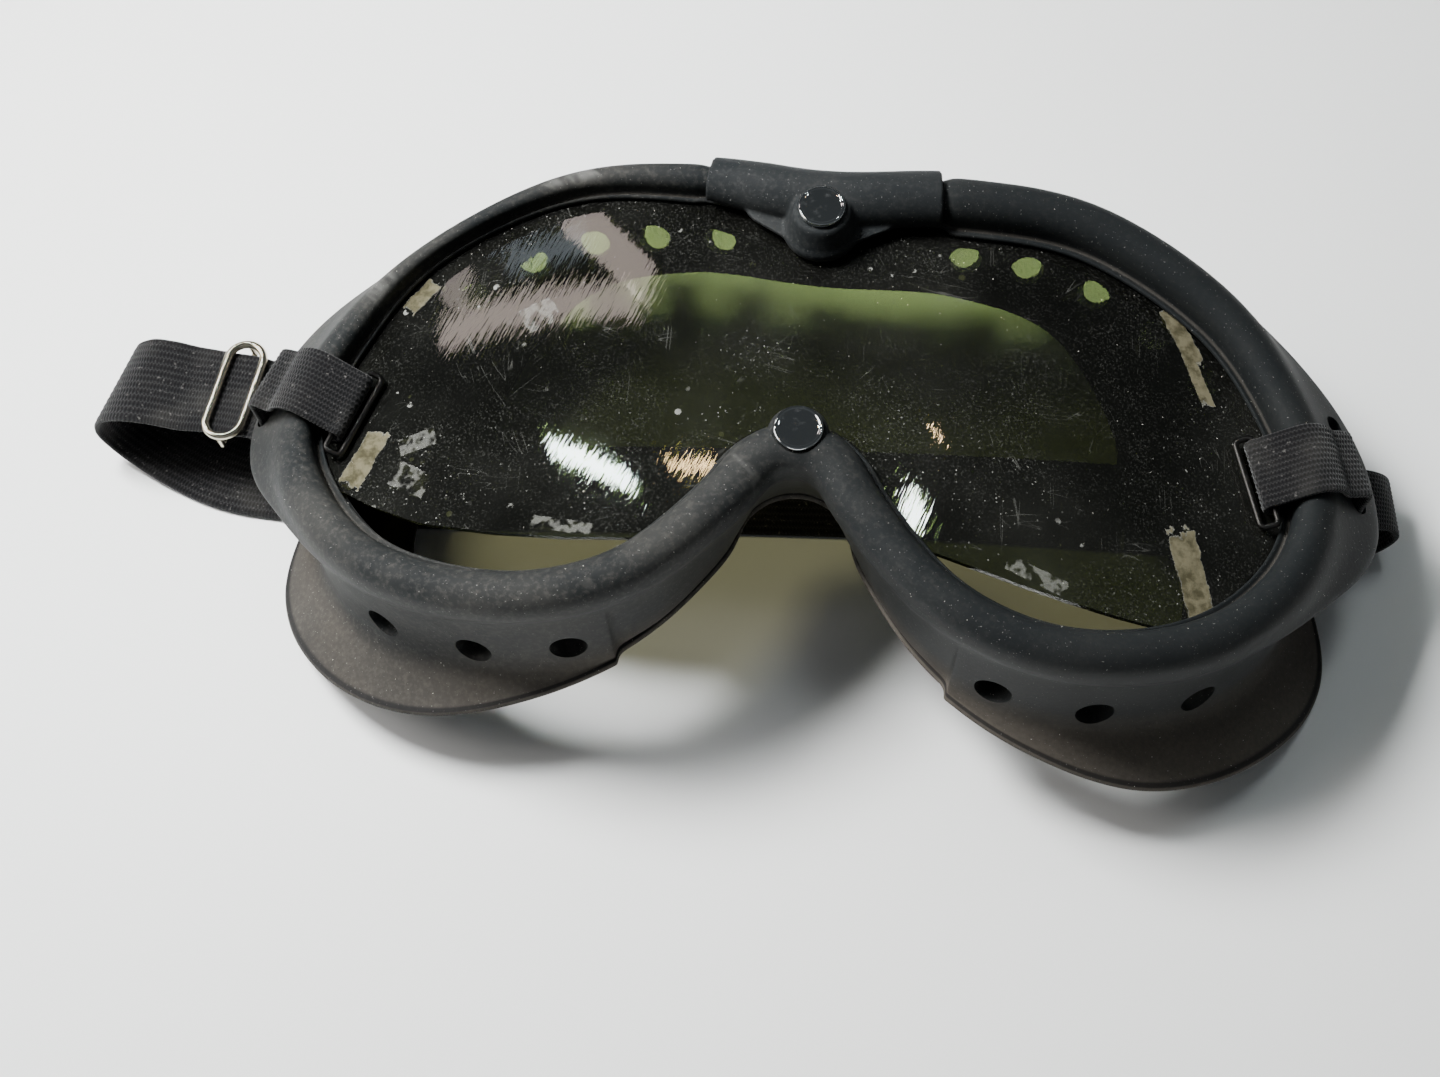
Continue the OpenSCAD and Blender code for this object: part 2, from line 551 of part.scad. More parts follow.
// Each loop keeps its reach past the wing, and the run between them scales with the rim
outset = (rim_w - table_w) / 2;
function loop_rows(side, list) = [for (p = list) [p[0] + side * outset, p[1] * tall, p[2], p[3], p[4], 0]];
function run_rows(list) = [for (p = list) [p[0] * wide, p[1] * tall, p[2], p[3], p[4], 0]];
route = concat(
    band_end(-1), loop_rows(-1, left_loop), run_rows(under_run), loop_rows(1, right_loop),
    backwards(band_end(1)));
function route_at(i) = route[max(0, min(len(route) - 1, i))];
function on_route(s) = let (i = floor(s), t = s - i)
    blend4(route_at(i - 1), route_at(i), route_at(i + 1), route_at(i + 2), t);
function xyz(p) = [p[0], p[1], p[2]];
function band_ring(s) =
    let (
        p = on_route(s),
        along = unit(xyz(on_route(min(len(route) - 1, s + 0.05))) - xyz(on_route(max(0, s - 0.05)))),
        lean = [sin(p[4]), cos(p[4]), p[5]],
        across = unit(lean - (lean * along) * along),
        thick = cross(along, across),
        w = p[3] / 2,
        flat = w - 0.3,
        t = band_t / 2,
        half_ring = [[-w, -t / 2], [-flat, -t], [flat, -t], [w, -t / 2]]
    ) [for (q = concat(half_ring, -half_ring)) xyz(p) + across * q[0] + thick * q[1]];
band_steps = 3;
module headband() {
    color([0.12, 0.12, 0.12])
        skin_open([for (i = [0:(len(route) - 1) * band_steps]) band_ring(i / band_steps)]);
}

// The slider's ring lies on the headband, and its bar crosses beneath
slider_at = [-107.7 - outset, 12.5 * tall, slider_h];
slider_turn = -5;
ring_up = band_t / 2 + band_gap + ring_wire_r;
bar_r = 0.6;
bar_down = band_t / 2 + band_gap + bar_r;
module slider_ring() {
    w = ring_w - 2 * ring_wire_r;
    color([0.72, 0.66, 0.52]) translate(slider_at) rotate([0, 0, slider_turn]) translate([0, 0, ring_up])
        wire_loop(w, ring_len - 2 * ring_wire_r, ring_wire_r, w / 2 - 0.01);
}
module slider_bar() {
    reach = ring_len / 2 - ring_wire_r;
    color([0.72, 0.66, 0.52]) translate(slider_at) rotate([0, 0, slider_turn]) {
        translate([0, -reach, -bar_down]) rotate([-90, 0, 0]) cylinder(r = bar_r, h = 2 * reach, $fn = 24);
        for (s = [-1, 1]) translate([0, s * reach, -bar_down]) {
            sphere(r = bar_r, $fn = 24);
            cylinder(r = bar_r, h = bar_down + ring_up - ring_wire_r - snug, $fn = 24);
        }
    }
}

frame();
lens();
top_flap();
snap_cap(top_snap_y, top_seat_h);  // top_snap_cap
snap_socket(top_snap_y);  // top_snap_socket
snap_spring(top_snap_y);  // top_snap_spring
snap_stud(top_snap_y);  // top_snap_stud
snap_post(top_snap_y);  // top_snap_post
snap_cap(nose_snap_y, nose_seat_h);  // nose_snap_cap
snap_socket(nose_snap_y);  // nose_snap_socket
snap_spring(nose_snap_y);  // nose_snap_spring
snap_stud(nose_snap_y);  // nose_snap_stud
snap_post(nose_snap_y);  // nose_snap_post
link(-1);  // link_left
link(1);  // link_right
headband();
slider_ring();
slider_bar();
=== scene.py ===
# %% [markdown]
# # Eye goggles with a rubber frame
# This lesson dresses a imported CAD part. The solids give every place and size, and Blender gives the smooth
# rubber, the tinted lens, the ribbed elastic and the light. Lengths in the tables are millimetres, as in
# the part's source, and MM turns them into Blender's metres.

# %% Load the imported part
import json
import math

import bmesh
import bpy
import numpy as np
from mathutils import Matrix, Vector


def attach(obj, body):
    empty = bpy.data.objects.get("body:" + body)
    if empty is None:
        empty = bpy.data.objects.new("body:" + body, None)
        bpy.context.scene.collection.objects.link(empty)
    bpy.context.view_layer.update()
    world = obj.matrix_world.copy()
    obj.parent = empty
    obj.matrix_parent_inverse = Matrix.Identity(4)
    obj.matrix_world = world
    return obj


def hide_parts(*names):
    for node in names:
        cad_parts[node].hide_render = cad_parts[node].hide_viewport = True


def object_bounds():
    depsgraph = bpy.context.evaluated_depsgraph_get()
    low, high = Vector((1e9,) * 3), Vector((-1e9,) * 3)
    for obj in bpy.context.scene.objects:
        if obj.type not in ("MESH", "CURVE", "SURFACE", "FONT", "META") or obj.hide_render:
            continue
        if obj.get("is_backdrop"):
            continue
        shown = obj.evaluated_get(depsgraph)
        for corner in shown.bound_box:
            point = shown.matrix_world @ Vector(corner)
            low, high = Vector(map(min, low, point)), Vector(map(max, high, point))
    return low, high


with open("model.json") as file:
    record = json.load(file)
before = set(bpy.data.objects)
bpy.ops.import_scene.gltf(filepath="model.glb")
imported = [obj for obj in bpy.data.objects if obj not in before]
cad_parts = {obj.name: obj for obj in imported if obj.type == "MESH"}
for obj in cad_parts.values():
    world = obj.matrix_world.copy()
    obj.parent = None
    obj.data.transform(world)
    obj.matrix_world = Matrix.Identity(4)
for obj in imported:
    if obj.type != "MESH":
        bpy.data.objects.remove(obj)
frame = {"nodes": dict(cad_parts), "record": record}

MM = 0.001
scene = bpy.context.scene
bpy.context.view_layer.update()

# %% [markdown]
# The camera stands where the photographer stood: on the cheek side, looking down at the lens, with a slight
# roll. Its place is written as angles round a target point, because angles are easier to judge than a
# matrix is.

# %% Camera
LOOK = {"target": (-10.8, -23.6, 46), "up_angle": 64.2, "side_angle": 11.0, "roll": -5.1, "distance": 288}
LENS_MM, SENSOR_MM = 45, 36


def spoke(angle, r=1):
    """x and y at r from the middle, in the direction angle, in degrees from x."""
    return r * math.cos(math.radians(angle)), r * math.sin(math.radians(angle))


def look_axes(look):
    e, a, r = (math.radians(look[k]) for k in ("up_angle", "side_angle", "roll"))
    back = Vector((math.sin(a) * math.cos(e), -math.cos(a) * math.cos(e), math.sin(e)))
    right = Vector((math.cos(a), math.sin(a), 0))
    up = back.cross(right)
    return math.cos(r) * right + math.sin(r) * up, math.cos(r) * up - math.sin(r) * right, back


cam_right, cam_up, cam_back = look_axes(LOOK)
cam_place = Vector(LOOK["target"]) * MM + cam_back * LOOK["distance"] * MM
camera = bpy.data.objects.new("camera", bpy.data.cameras.new("camera"))
scene.collection.objects.link(camera)
camera.data.lens = LENS_MM
camera.data.sensor_width = SENSOR_MM
camera.data.clip_start = 0.01
cam_turn = Matrix((cam_right, cam_up, cam_back)).transposed().to_4x4()
camera.matrix_world = Matrix.Translation(cam_place) @ cam_turn
scene.camera = camera
print("camera at, m:", [round(x, 3) for x in cam_place])

# %% [markdown]
# A finish is a small program of nodes. Two helpers keep it readable: Sock wraps an output so that sums are
# written with + and *, and Finish adds any node with its settings and inputs in one call.


# %% Helpers for finishes
class Sock:
    """An output of a node, which sums and products can be written with."""

    def __init__(self, finish, socket):
        self.finish, self.socket = finish, socket

    def math(self, operation, *others):
        return self.finish.node("Math", {"operation": operation}, dict(enumerate((self, *others))))

    def __add__(self, other):
        return self.math("ADD", other)

    def __sub__(self, other):
        return self.math("SUBTRACT", other)

    def __mul__(self, other):
        return self.math("MULTIPLY", other)

    def __truediv__(self, other):
        return self.math("DIVIDE", other)

    def __rsub__(self, other):
        return self.finish.node("Math", {"operation": "SUBTRACT"}, {0: other, 1: self})

    __radd__ = __add__

    def step(self, low, high):
        """0 below low, 1 above high, and smooth between."""
        settings = {"interpolation_type": "SMOOTHSTEP"}
        return self.finish.node("MapRange", settings, {"Value": self, "From Min": low, "From Max": high})

    def near(self, middle, full, none):
        """1 within full of middle, and 0 from none away."""
        return 1 - (self - middle).math("ABSOLUTE").step(full, none)

    def or_(self, other):
        return self.math("MAXIMUM", other)


class Finish:
    """A material's nodes."""

    def __init__(self, name):
        self.material = bpy.data.materials.new(name)
        self.material.use_nodes = True
        self.tree = self.material.node_tree
        self.tree.nodes.clear()
        self.place = self.node("TexCoord", output="Object")

    def feed(self, socket, value):
        if isinstance(value, Sock):
            self.tree.links.new(value.socket, socket)
        elif isinstance(value, (tuple, list)) and len(value) == 3 and socket.type == "RGBA":
            socket.default_value = (*value, 1)
        else:
            socket.default_value = value

    def node(self, kind, settings=None, inputs=None, output=0):
        made = self.tree.nodes.new("ShaderNode" + kind)
        for key, value in (settings or {}).items():
            setattr(made, key, value)
        for key, value in (inputs or {}).items():
            self.feed(made.inputs[key], value)
        return Sock(self, made.outputs[output])

    def noise(self, scale, detail=3, rough=0.5, at=None):
        inputs = {"Vector": at or self.place, "Scale": scale, "Detail": detail, "Roughness": rough}
        return self.node("TexNoise", None, inputs)

    def drawn(self, angle, stretch):
        """Coordinates that draw a pattern out by stretch, along a line turned by angle in radians from Y."""
        inputs = {"Vector": self.place, "Rotation": (0, 0, angle), "Scale": (1, stretch, 1)}
        return self.node("Mapping", {"vector_type": "TEXTURE"}, inputs)

    def cells(self, scale):
        """The distance to the nearest of points that are strewn at random."""
        inputs = {"Vector": self.place, "Scale": scale}
        return self.node("TexVoronoi", {"feature": "F1"}, inputs, output="Distance")

    def patch(self, x, y, place, half, angle, ragged):
        """1 inside a ragged box of half-sizes half, turned by angle in degrees, round place, in mm."""
        c, s = spoke(angle)
        dx, dy = x - place[0] * MM, y - place[1] * MM
        across, along = dx * c + dy * s, dy * c - dx * s
        far = (across.math("ABSOLUTE") / (half[0] * MM)).or_(along.math("ABSOLUTE") / (half[1] * MM))
        return (1 - far + (ragged - 0.5) * 0.9).step(-0.02, 0.04)

    def mix(self, factor, a, b):
        """Mixes two colours."""
        made = self.tree.nodes.new("ShaderNodeMix")
        made.data_type = "RGBA"
        for key, value in ((0, factor), (6, a), (7, b)):
            self.feed(made.inputs[key], value)
        return Sock(self, made.outputs[2])

    def bump(self, height, distance, strength):
        return self.node("Bump", None, {"Height": height, "Distance": distance, "Strength": strength})

    def surface(self, shader):
        made = self.tree.nodes.new("ShaderNodeOutputMaterial")
        self.feed(made.inputs["Surface"], shader)
        return self.material


print("helpers ready")

# %% [markdown]
# Meshes come from lists of points. One helper joins rings of points into a skin, and one applies an
# object's modifiers and leaves a plain mesh at the origin, as the export wants it.


# %% Helpers for meshes
def add_object(name, points, faces, finish=None, smooth=True):
    mesh = bpy.data.meshes.new(name)
    mesh.from_pydata([Vector(p) * MM for p in points], [], faces)
    mesh.update()
    made = bpy.data.objects.new(name, mesh)
    scene.collection.objects.link(made)
    if finish:
        mesh.materials.append(finish)
    for face in mesh.polygons:
        face.use_smooth = smooth
    return made


def ring_faces(count, size, closed=True):
    """Quads between rings of points, each ring joined to the next, and the last to the first if closed."""
    faces = []
    for i in range(count if closed else count - 1):
        here, after = i * size, (i + 1) % count * size
        faces += [(here + j, here + (j + 1) % size, after + (j + 1) % size, after + j) for j in range(size)]
    return faces


def add_skin(name, rings, closed=True, **more):
    size = len(rings[0])
    faces = ring_faces(len(rings), size, closed)
    if not closed:
        end = (len(rings) - 1) * size
        faces += [tuple(range(size))[::-1], tuple(range(end, end + size))]
    return add_object(name, [p for ring in rings for p in ring], faces, **more)


def map_rings(made, count, size):
    """A UV map of a closed skin of rings: u is the ring over count, and v the place in the ring over size."""
    layer = made.data.uv_layers.new(name="rings")
    for face in made.data.polygons:
        rows = [made.data.loops[k].vertex_index // size for k in face.loop_indices]
        columns = [made.data.loops[k].vertex_index % size for k in face.loop_indices]
        for k, i, j in zip(face.loop_indices, rows, columns):
            i += count if i == 0 and max(rows) > 1 else 0
            j += size if j == 0 and max(columns) > 1 else 0
            layer.data[k].uv = (i / count, j / size)


def turned(name, profile, at, steps=96, **more):
    """A profile of (radius, height) turned round an upright axis through at. Its ends are on the axis."""
    points, faces = [(at[0], at[1], at[2] + profile[0][1])], []
    inner = profile[1:-1]
    for r, z in inner:
        points += [
            (at[0] + r * math.cos(a), at[1] + r * math.sin(a), at[2] + z)
            for a in [math.tau * i / steps for i in range(steps)]
        ]
    points.append((at[0], at[1], at[2] + profile[-1][1]))
    faces += [tuple(1 + k for k in face) for face in ring_faces(len(inner), steps, closed=False)]
    last = 1 + (len(inner) - 1) * steps
    for i in range(steps):
        faces.append((0, 1 + (i + 1) % steps, 1 + i))
        faces.append((len(points) - 1, last + i, last + (i + 1) % steps))
    return add_object(name, points, faces, **more)


def modify(made, kind, **settings):
    modifier = made.modifiers.new(kind.lower(), kind)
    for key, value in settings.items():
        setattr(modifier, key, value)
    return modifier


def settle(made):
    """Applies the modifiers."""
    depsgraph = bpy.context.evaluated_depsgraph_get()
    mesh = bpy.data.meshes.new_from_object(made.evaluated_get(depsgraph))
    made.modifiers.clear()
    made.data = mesh
    for face in mesh.polygons:
        face.use_smooth = True
    return made


def recalculate(made):
    work = bmesh.new()
    work.from_mesh(made.data)
    bmesh.ops.remove_doubles(work, verts=work.verts, dist=0.00001)
    bmesh.ops.recalc_face_normals(work, faces=work.faces)
    work.to_mesh(made.data)
    work.free()
    return made


def join(name, objects):
    work = bmesh.new()
    for o in objects:
        work.from_mesh(o.data)
    mesh = bpy.data.meshes.new(name)
    work.to_mesh(mesh)
    work.free()
    made = bpy.data.objects.new(name, mesh)
    scene.collection.objects.link(made)
    for material in objects[0].data.materials:
        mesh.materials.append(material)
    for o in objects:
        bpy.data.objects.remove(o)
    return made


def cut(made, tool, operation="DIFFERENCE"):
    modify(made, "BOOLEAN", object=tool, operation=operation, solver="EXACT")
    settle(made)
    bpy.data.objects.remove(tool)
    return made


def triangles(made):
    made.data.calc_loop_triangles()
    return len(made.data.loop_triangles)


print("mesh helpers ready")

# %% [markdown]
# The frame is one moulding of soft black rubber. Its section changes all the way round, so it is drawn as
# sections on a smooth closed curve. The same table as in the part's source is used, with more sections
# between its rows, and a subdivision surface rounds the corners as a mould does.

# %% The frame's table
# x, y, wing, lip, crease out, crease height, flange out, flange height, inner edge out, its height
HALF = [
    [0, 44, 0, 2.2, 3, 23, 9, 20, -3, 22],
    [25, 46.5, 0, 0, 3, 22, 9, 19, -5, 21],
    [48, 45, 0, 0, 3, 19, 10, 14, -11, 19],
    [70.5, 33, 0.2, 0, 3, 11, 11, 0.4, -22, 13],
    [83, 16, 0.85, 0, 1, 9, 4, 6, -28, 11],
    [87.5, 0, 1, 0, -1, 9, 2.5, 6, -25, 10.5],
    [84, -14, 0.3, 0, 2, 7.5, 13, 0.4, -19, 10],
    [73, -27, 0, 0, 4, 13, 15.6, 8.5, -9, 13.5],
    [58, -34.5, 0, 0, 4.5, 18, 14.6, 14, -2, 18],
    [41, -36, 0, 0, 4.5, 21.5, 8.8, 19, -1, 21.5],
    [25, -30, 0, 0, 3.8, 23, 4.8, 22, -0.4, 23],
    [12, -17, 0, 0.4, 1.2, 23, 2, 22.3, -3, 23],
    [6, -8.9, 0, 1.2, -1.4, 22.5, -0.8, 22, -6, 22.6],
    [0, -6.6, 0, 2, -2.5, 22.3, -1.8, 21.8, -6.5, 22.4],
]
# Where the wearer's right side, bent with wear, departs from the half: row, x, y, wing, flange out
WORN = [
    [1, 25, 47.8, 0, 9], [2, 48, 46.4, 0, 10], [3, 71.2, 33.8, 0, 11], [4, 84.4, 16.4, 0.66, 4],
    [5, 89.6, -0.3, 0.78, 0.5], [6, 85, -14.4, 0.2, 12], [7, 73, -27, 0, 15.4], [8, 58, -33.4, 0, 14.2],
    [9, 41, -34.8, 0, 8.6], [10, 25, -29.5, 0, 4.6],
]
worn_rows = {i: [-x, y, wing, *HALF[i][3:6], flange, *HALF[i][7:]] for i, x, y, wing, flange in WORN}
LOOP = HALF + [worn_rows.get(i, [-HALF[i][0], *HALF[i][1:]]) for i in range(len(HALF) - 2, 0, -1)]
# How much slimmer the bead is, at places back from the forehead's centre round the wearer's right
SLIM = [(0, 0), (0.4, 0.3), (0.85, 1.2), (0.88, 1.6), (1.8, 2.3), (2.6, 2.7), (3, 2.6), (3.4, 2.1),
        (3.8, 1.3), (4.1, 1), (5, 0.7), (6, 0)]
LENS_RADIUS, LENS_T, LENS_GAP = 260, 1, 0.25
BEAD_R, NECK_R, FRONT_LIP, NOSE_SWELL = 4.2, 3.4, 1.6, 1
WALL_T, LIP_T, LIP_REACH, FLANGE_T, FRONT_H = 2, 1.3, 6.4, 1.6, 45.5
GROOVE_D, GROOVE_N = 3.1, 1.2
LENS_FRONT = GROOVE_D + LENS_GAP
LIP_D = GROOVE_D + LENS_T + 2 * LENS_GAP
FLAP_HALF, ROW_STEP = 20.5, 25.2
BED_HALF = FLAP_HALF + 0.7


def smooth4(a, b, c, d, t):
    return 0.5 * (2 * b + (c - a) * t + (2 * a - 5 * b + 4 * c - d) * t * t + (3 * b - a - 3 * c + d) * t**3)


def at(u):
    i = math.floor(u)
    rows = [LOOP[(i + k) % len(LOOP)] for k in (-1, 0, 1, 2)]
    return [smooth4(*values, u - i) for values in zip(*rows)]


def heading(u):
    a, b = at(u - 0.04), at(u + 0.04)
    length = math.hypot(b[0] - a[0], b[1] - a[1])
    return (b[0] - a[0]) / length, (b[1] - a[1]) / length


def surface_h(x, d):
    return FRONT_H - LENS_RADIUS + math.sqrt((LENS_RADIUS + d) ** 2 - x * x)


def place(u, n, z):
    p, t = at(u), heading(u)
    return [p[0] - t[1] * n, p[1] + t[0] * n, z]


def front(u, n, d):
    p = place(u, n, 0)
    return [p[0], p[1], surface_h(p[0], d)]


def mix(a, b, f):
    return a + (b - a) * f


def slim(u):
    back = len(LOOP) - u
    return float(np.interp(back, *zip(*SLIM))) if 0 < back < SLIM[-1][0] else 0


print("frame's front runs", round(at(5)[0] * 2, 1), "mm between the bead's centres")

# %% [markdown]
# A section goes once round the rubber: from the thin lip that holds the lens, over the round bead, down the
# skirt to the flange's edge, back up inside, and out along the inner lip. A wing at each temple carries a
# slot for the headband, and the bead is thinner at the brow, where the flap's roll lies on it.

# %% The frame's sections
ARCH_STEP, ARCH_U = 1.6, 9.7
PLAIN = [[4.1, -0.9], [4, -1.6], [3.8, -2.4], [3.5, -3.4], [3, -4.6]]
WING = [[7.5, -0.9], [12.8, -3.6], [13.4, -4.6], [12.4, -6.2], [5, -7.5]]
ROOT = [[3.45, -0.2], [5.1, -0.5], [5.5, -2.2], [5.1, -5], [3.4, -8]]


def rim(u):
    p = at(u)
    bed, thin = p[1] > 20 and abs(p[0]) < BED_HALF + 0.1, slim(u)
    r = (NECK_R if bed else BEAD_R + (NOSE_SWELL * max(0, 1 - abs(p[0]) / 16) if p[1] < 0 else 0)) - thin
    reach = r + (0.5 + thin * 0.3 if bed else FRONT_LIP * (1 - thin / 5.4))
    wing = max(0, min(1, p[2]))
    side = [(n - thin, d) for n, d in (ROOT if bed else PLAIN)]
    lip = [(-reach + 0.4, -GROOVE_D), (-reach, -GROOVE_D + 0.4)]
    lip.append((-reach + 0.3, -GROOVE_D + (1 if bed else 1.35)))
    neck = [(-r, -GROOVE_D + 1.1) if bed else (-r - 0.15, -GROOVE_D + 0.55), (-r + 0.1, -1.6)]
    arc = [spoke(a, r) for a in range(180, 29, -30)]
    out = [[mix(a, b, wing) for a, b in zip(s, w)] for s, w in zip(side, WING)]
    return [front(u, n, d) for n, d in lip + neck + arc + out]


def skirt(u):
    p = at(u)
    z0 = surface_h(p[0], 0)
    step = ARCH_STEP if ARCH_U < u < len(LOOP) - ARCH_U else 0
    cn, ch, fh, hn, hh = p[4] - step, p[5], p[7], p[8], p[9]
    fn, half = max(p[6] - step, cn + 0.6), FLANGE_T / 2
    rows = [
        (mix(3 - slim(u), cn, 0.6) + 0.2, mix(z0 - 6, ch, 0.55)),
        (cn + 0.3, ch + 1.4),
        (mix(cn, fn, 0.35), mix(ch, fh, 0.3) + half * 1.1),
        (fn - 1.3, mix(fh, ch, 0.04) + half * 0.95),
        (fn - 0.55, fh + half * 1.3),
        (fn, fh),
        (fn - 0.5, fh - half),
        (mix(cn, fn, 0.1), mix(ch, fh, 0.25) - half),
        (hn + 0.4, hh - half),
        (hn, hh),
        (hn + 0.5, hh + half),
        (min(cn - WALL_T, 1) - 0.4, max(ch + 1.8, hh + half + 0.4)),
        (mix(1, cn - WALL_T, 0.5), mix(z0 - LIP_D - LIP_T - 0.6, ch, 0.5)),
    ]
    return [place(u, n, z) for n, z in rows]


def inner_lip(u):
    reach, back = LIP_REACH + max(0, at(u)[3]), -LIP_D - LIP_T
    rows = [
        (1, back - 0.8), (-1.4, back), (-reach + 0.3, back + 0.2), (-reach, back + LIP_T / 2),
        (-reach + 0.3, -LIP_D), (-GROOVE_N, -LIP_D), (-GROOVE_N, -GROOVE_D),
    ]
    return [front(u, n, d) for n, d in rows]


STEPS = 6
bed_u = BED_HALF / ROW_STEP
shoulder_u = bed_u + 0.04
inside_bed = [0, 0.17, 0.34, 0.51, 0.68]
stations = (
    inside_bed + [bed_u, shoulder_u]
    + sorted([i / STEPS for i in range(STEPS, (len(LOOP) - 1) * STEPS + 1)]
             + [arch + side for arch in (ARCH_U, len(LOOP) - ARCH_U) for side in (-0.02, 0.02)])
    + [len(LOOP) - shoulder_u, len(LOOP) - bed_u]
    + [len(LOOP) - f for f in inside_bed[:0:-1]]
)
frame_rings = [rim(u) + skirt(u) + inner_lip(u) for u in stations]
print(len(stations), "sections of", len(frame_rings[0]), "points")

# %% [markdown]
# Rubber of this age is matt and grey-black: dust sits in the grain, ridges are rubbed paler, and the
# flanges next to the face are brown with fine dirt. Towards -X the rubber is painted paler. The
# flange's thin edge line and the faces inside the frame are mixed towards near-black: painted shade. The
# dust is noise of several sizes on the piece's own coordinates. Wear, dirt and painted shade follow the
# section, so they read the place in the ring from the skin's UV map.


# %% Rubber
# Points in a ring, and where in it these lie
RING, GROOVE_AT, CROWN_AT, CREASE_AT, RIDGE_AT, INSIDE_FROM = 36, 3.2, 8.5, 16.9, 19.7, 23
DIRT, RUBBED = (0.085, 0.074, 0.062), (0.14, 0.138, 0.132)
# A near-black painted shade for the flange's edge line and the faces inside the frame, and a pale lint
PAINTED_SHADE, LINT = (0.009, 0.009, 0.01), (0.36, 0.35, 0.33)


def rubber(name, base, pale, rings=False):
    """Dusty rubber, paler at -X. Where rings is true, wear, dirt and painted shade follow the section by UV
    map.
    """
    f = Finish(name)
    x = f.node("SeparateXYZ", None, {0: f.place}, output="X")
    cloud, blot = f.noise(38, 4, 0.62), f.noise(14, 3, 0.55)
    grain = f.noise(1100, 3, 0.65)
    fleck = f.noise(2900, 2, 0.5).step(0.69, 0.76)
    scuff = f.noise(90, 4, 0.7, at=f.drawn(0.9, 4)).step(0.56, 0.72)
    # Towards -X (from x = 60 mm to -50 mm) the rubber is painted paler
    paler_towards_minus_x = 0.2 + (1 - x.step(-0.05, 0.06)) * 0.9
    dusty = (cloud.step(0.36, 0.72) * 0.45 + grain.step(0.44, 0.74) * 0.45 + scuff * 0.3) * paler_towards_minus_x
    colour = f.mix(dusty.math("MINIMUM", 1.0), base, pale)
    relief = grain * 0.6 + f.noise(260, 3) * 0.5 + fleck * 0.4 + scuff * 0.15
    rough = 0.5 + cloud * 0.2
    if rings:
        v = f.node("SeparateXYZ", None, {0: f.node("UVMap", {"uv_map": "rings"})}, output="Y") * RING
        flange = v.step(CREASE_AT - 0.3, CREASE_AT + 1.1) * (1 - v.step(INSIDE_FROM - 1, INSIDE_FROM))
        edge, crease = v.near(RIDGE_AT, 0.25, 0.6), v.near(CREASE_AT, 0.2, 0.9)
        groove = v.near(GROOVE_AT, 0.2, 0.7)
        crown = v.near(CROWN_AT, 0.6, 2.6) * cloud.step(0.4, 0.62) * scuff.step(0.1, 0.9)
        inside = v.step(INSIDE_FROM, INSIDE_FROM + 1)
        brown = flange * (0.35 + blot.step(0.35, 0.62) * 0.65)
        brown = brown + crease * 0.45 * blot.step(0.4, 0.6) + groove * 0.35
        colour = f.mix((brown * (grain * 0.6 + 0.5)).math("MINIMUM", 0.9), colour, DIRT)
        colour = f.mix(crown * 0.45, colour, RUBBED)
        # Painted shade: the flange's edge line and the faces inside the frame are mixed towards near-black
        colour = f.mix((edge * 0.8).or_(inside * 0.75), colour, PAINTED_SHADE)
        rough = rough + brown * 0.3
        relief = relief + brown * grain * 0.8
    colour = f.mix(fleck * 0.4, colour, LINT)
    shader = f.node("BsdfPrincipled", None, {
        "Base Color": colour, "Roughness": rough, "Specular IOR Level": 0.22,
        "Normal": f.bump(relief, 0.0001, 0.6),
    })
    return f.surface(shader)


frame_rubber = rubber("frame_rubber", (0.0095, 0.0108, 0.0115), (0.05, 0.048, 0.044), rings=True)
flap_rubber = rubber("flap_rubber", (0.0105, 0.012, 0.013), (0.042, 0.042, 0.041))
print("rubber finishes ready")

# %% [markdown]
# The skin is rounded by subdivision first, and the round things are cut out of it afterwards, so that their
# edges stay crisp. The forehead's vents slope down, because in the photograph light comes through them to
# the lens: they stand where it shows them, which is a little different on the worn side.

# %% Frame: sizes of its cuts
TOP_VENT_R, CHEEK_VENT_R, VENT_DEPTH = 3, 3.2, 14
TOP_VENTS = {1: [1.05, 1.55, 2.1, 2.6, 3.1], -1: [0.78, 1.3, 1.8, 2.28, 2.76]}
TOP_VENT_N, TOP_VENT_DROP, TOP_VENT_SINK, TOP_VENT_SLOPE, TOP_VENT_SQUASH = 2.4, 5.6, 0.6, 44, 0.88
CHEEK_VENTS = [7.4, 8.4, 9.3]
SLOT_U, SLOT_LEN, SLOT_TOP, SLOT_W, SLOT_N, SLOT_Z = 4.5, 18.4, 4.2, 3.2, 7.8, 27
TOP_SNAP_Y, NOSE_SNAP_Y, PAD_R, CAP_R, SOCKET_R, SHANK_R = 38.9, -4.8, 5.1, 4.1, 2.7, 1.1
TAB_FRONT = FRONT_H - LIP_D
TAB_BACK = TAB_FRONT - LIP_T
SOCKET_H = TAB_FRONT + 2.2 - 0.9
SOCKET_TOP = SOCKET_H + 2.5
TOP_SEAT, NOSE_SEAT = FRONT_H + 4.2, FRONT_H + 4.1
SEAT_GAP, SNUG, POCKET_ROOM = 0.25, 0.06, 0.6
print("top snap's cap sits", round(TOP_SEAT, 1), "mm over the table")

# %% Frame: the skin
frame_skin = add_skin("frame_skin", frame_rings, finish=frame_rubber)
map_rings(frame_skin, len(frame_rings), len(frame_rings[0]))
modify(frame_skin, "SUBSURF", levels=2, render_levels=2)
settle(frame_skin)
recalculate(frame_skin)
print("skin has", triangles(frame_skin), "triangles")


# %% Frame: tools for the cuts
def outward_angle(u):
    t = heading(u)
    return math.atan2(t[0], -t[1])


def slot_at(side):
    return SLOT_U if side > 0 else len(LOOP) - SLOT_U


def slot_turn(side):
    t = heading(slot_at(side))
    return math.atan2(t[0], -side * t[1])


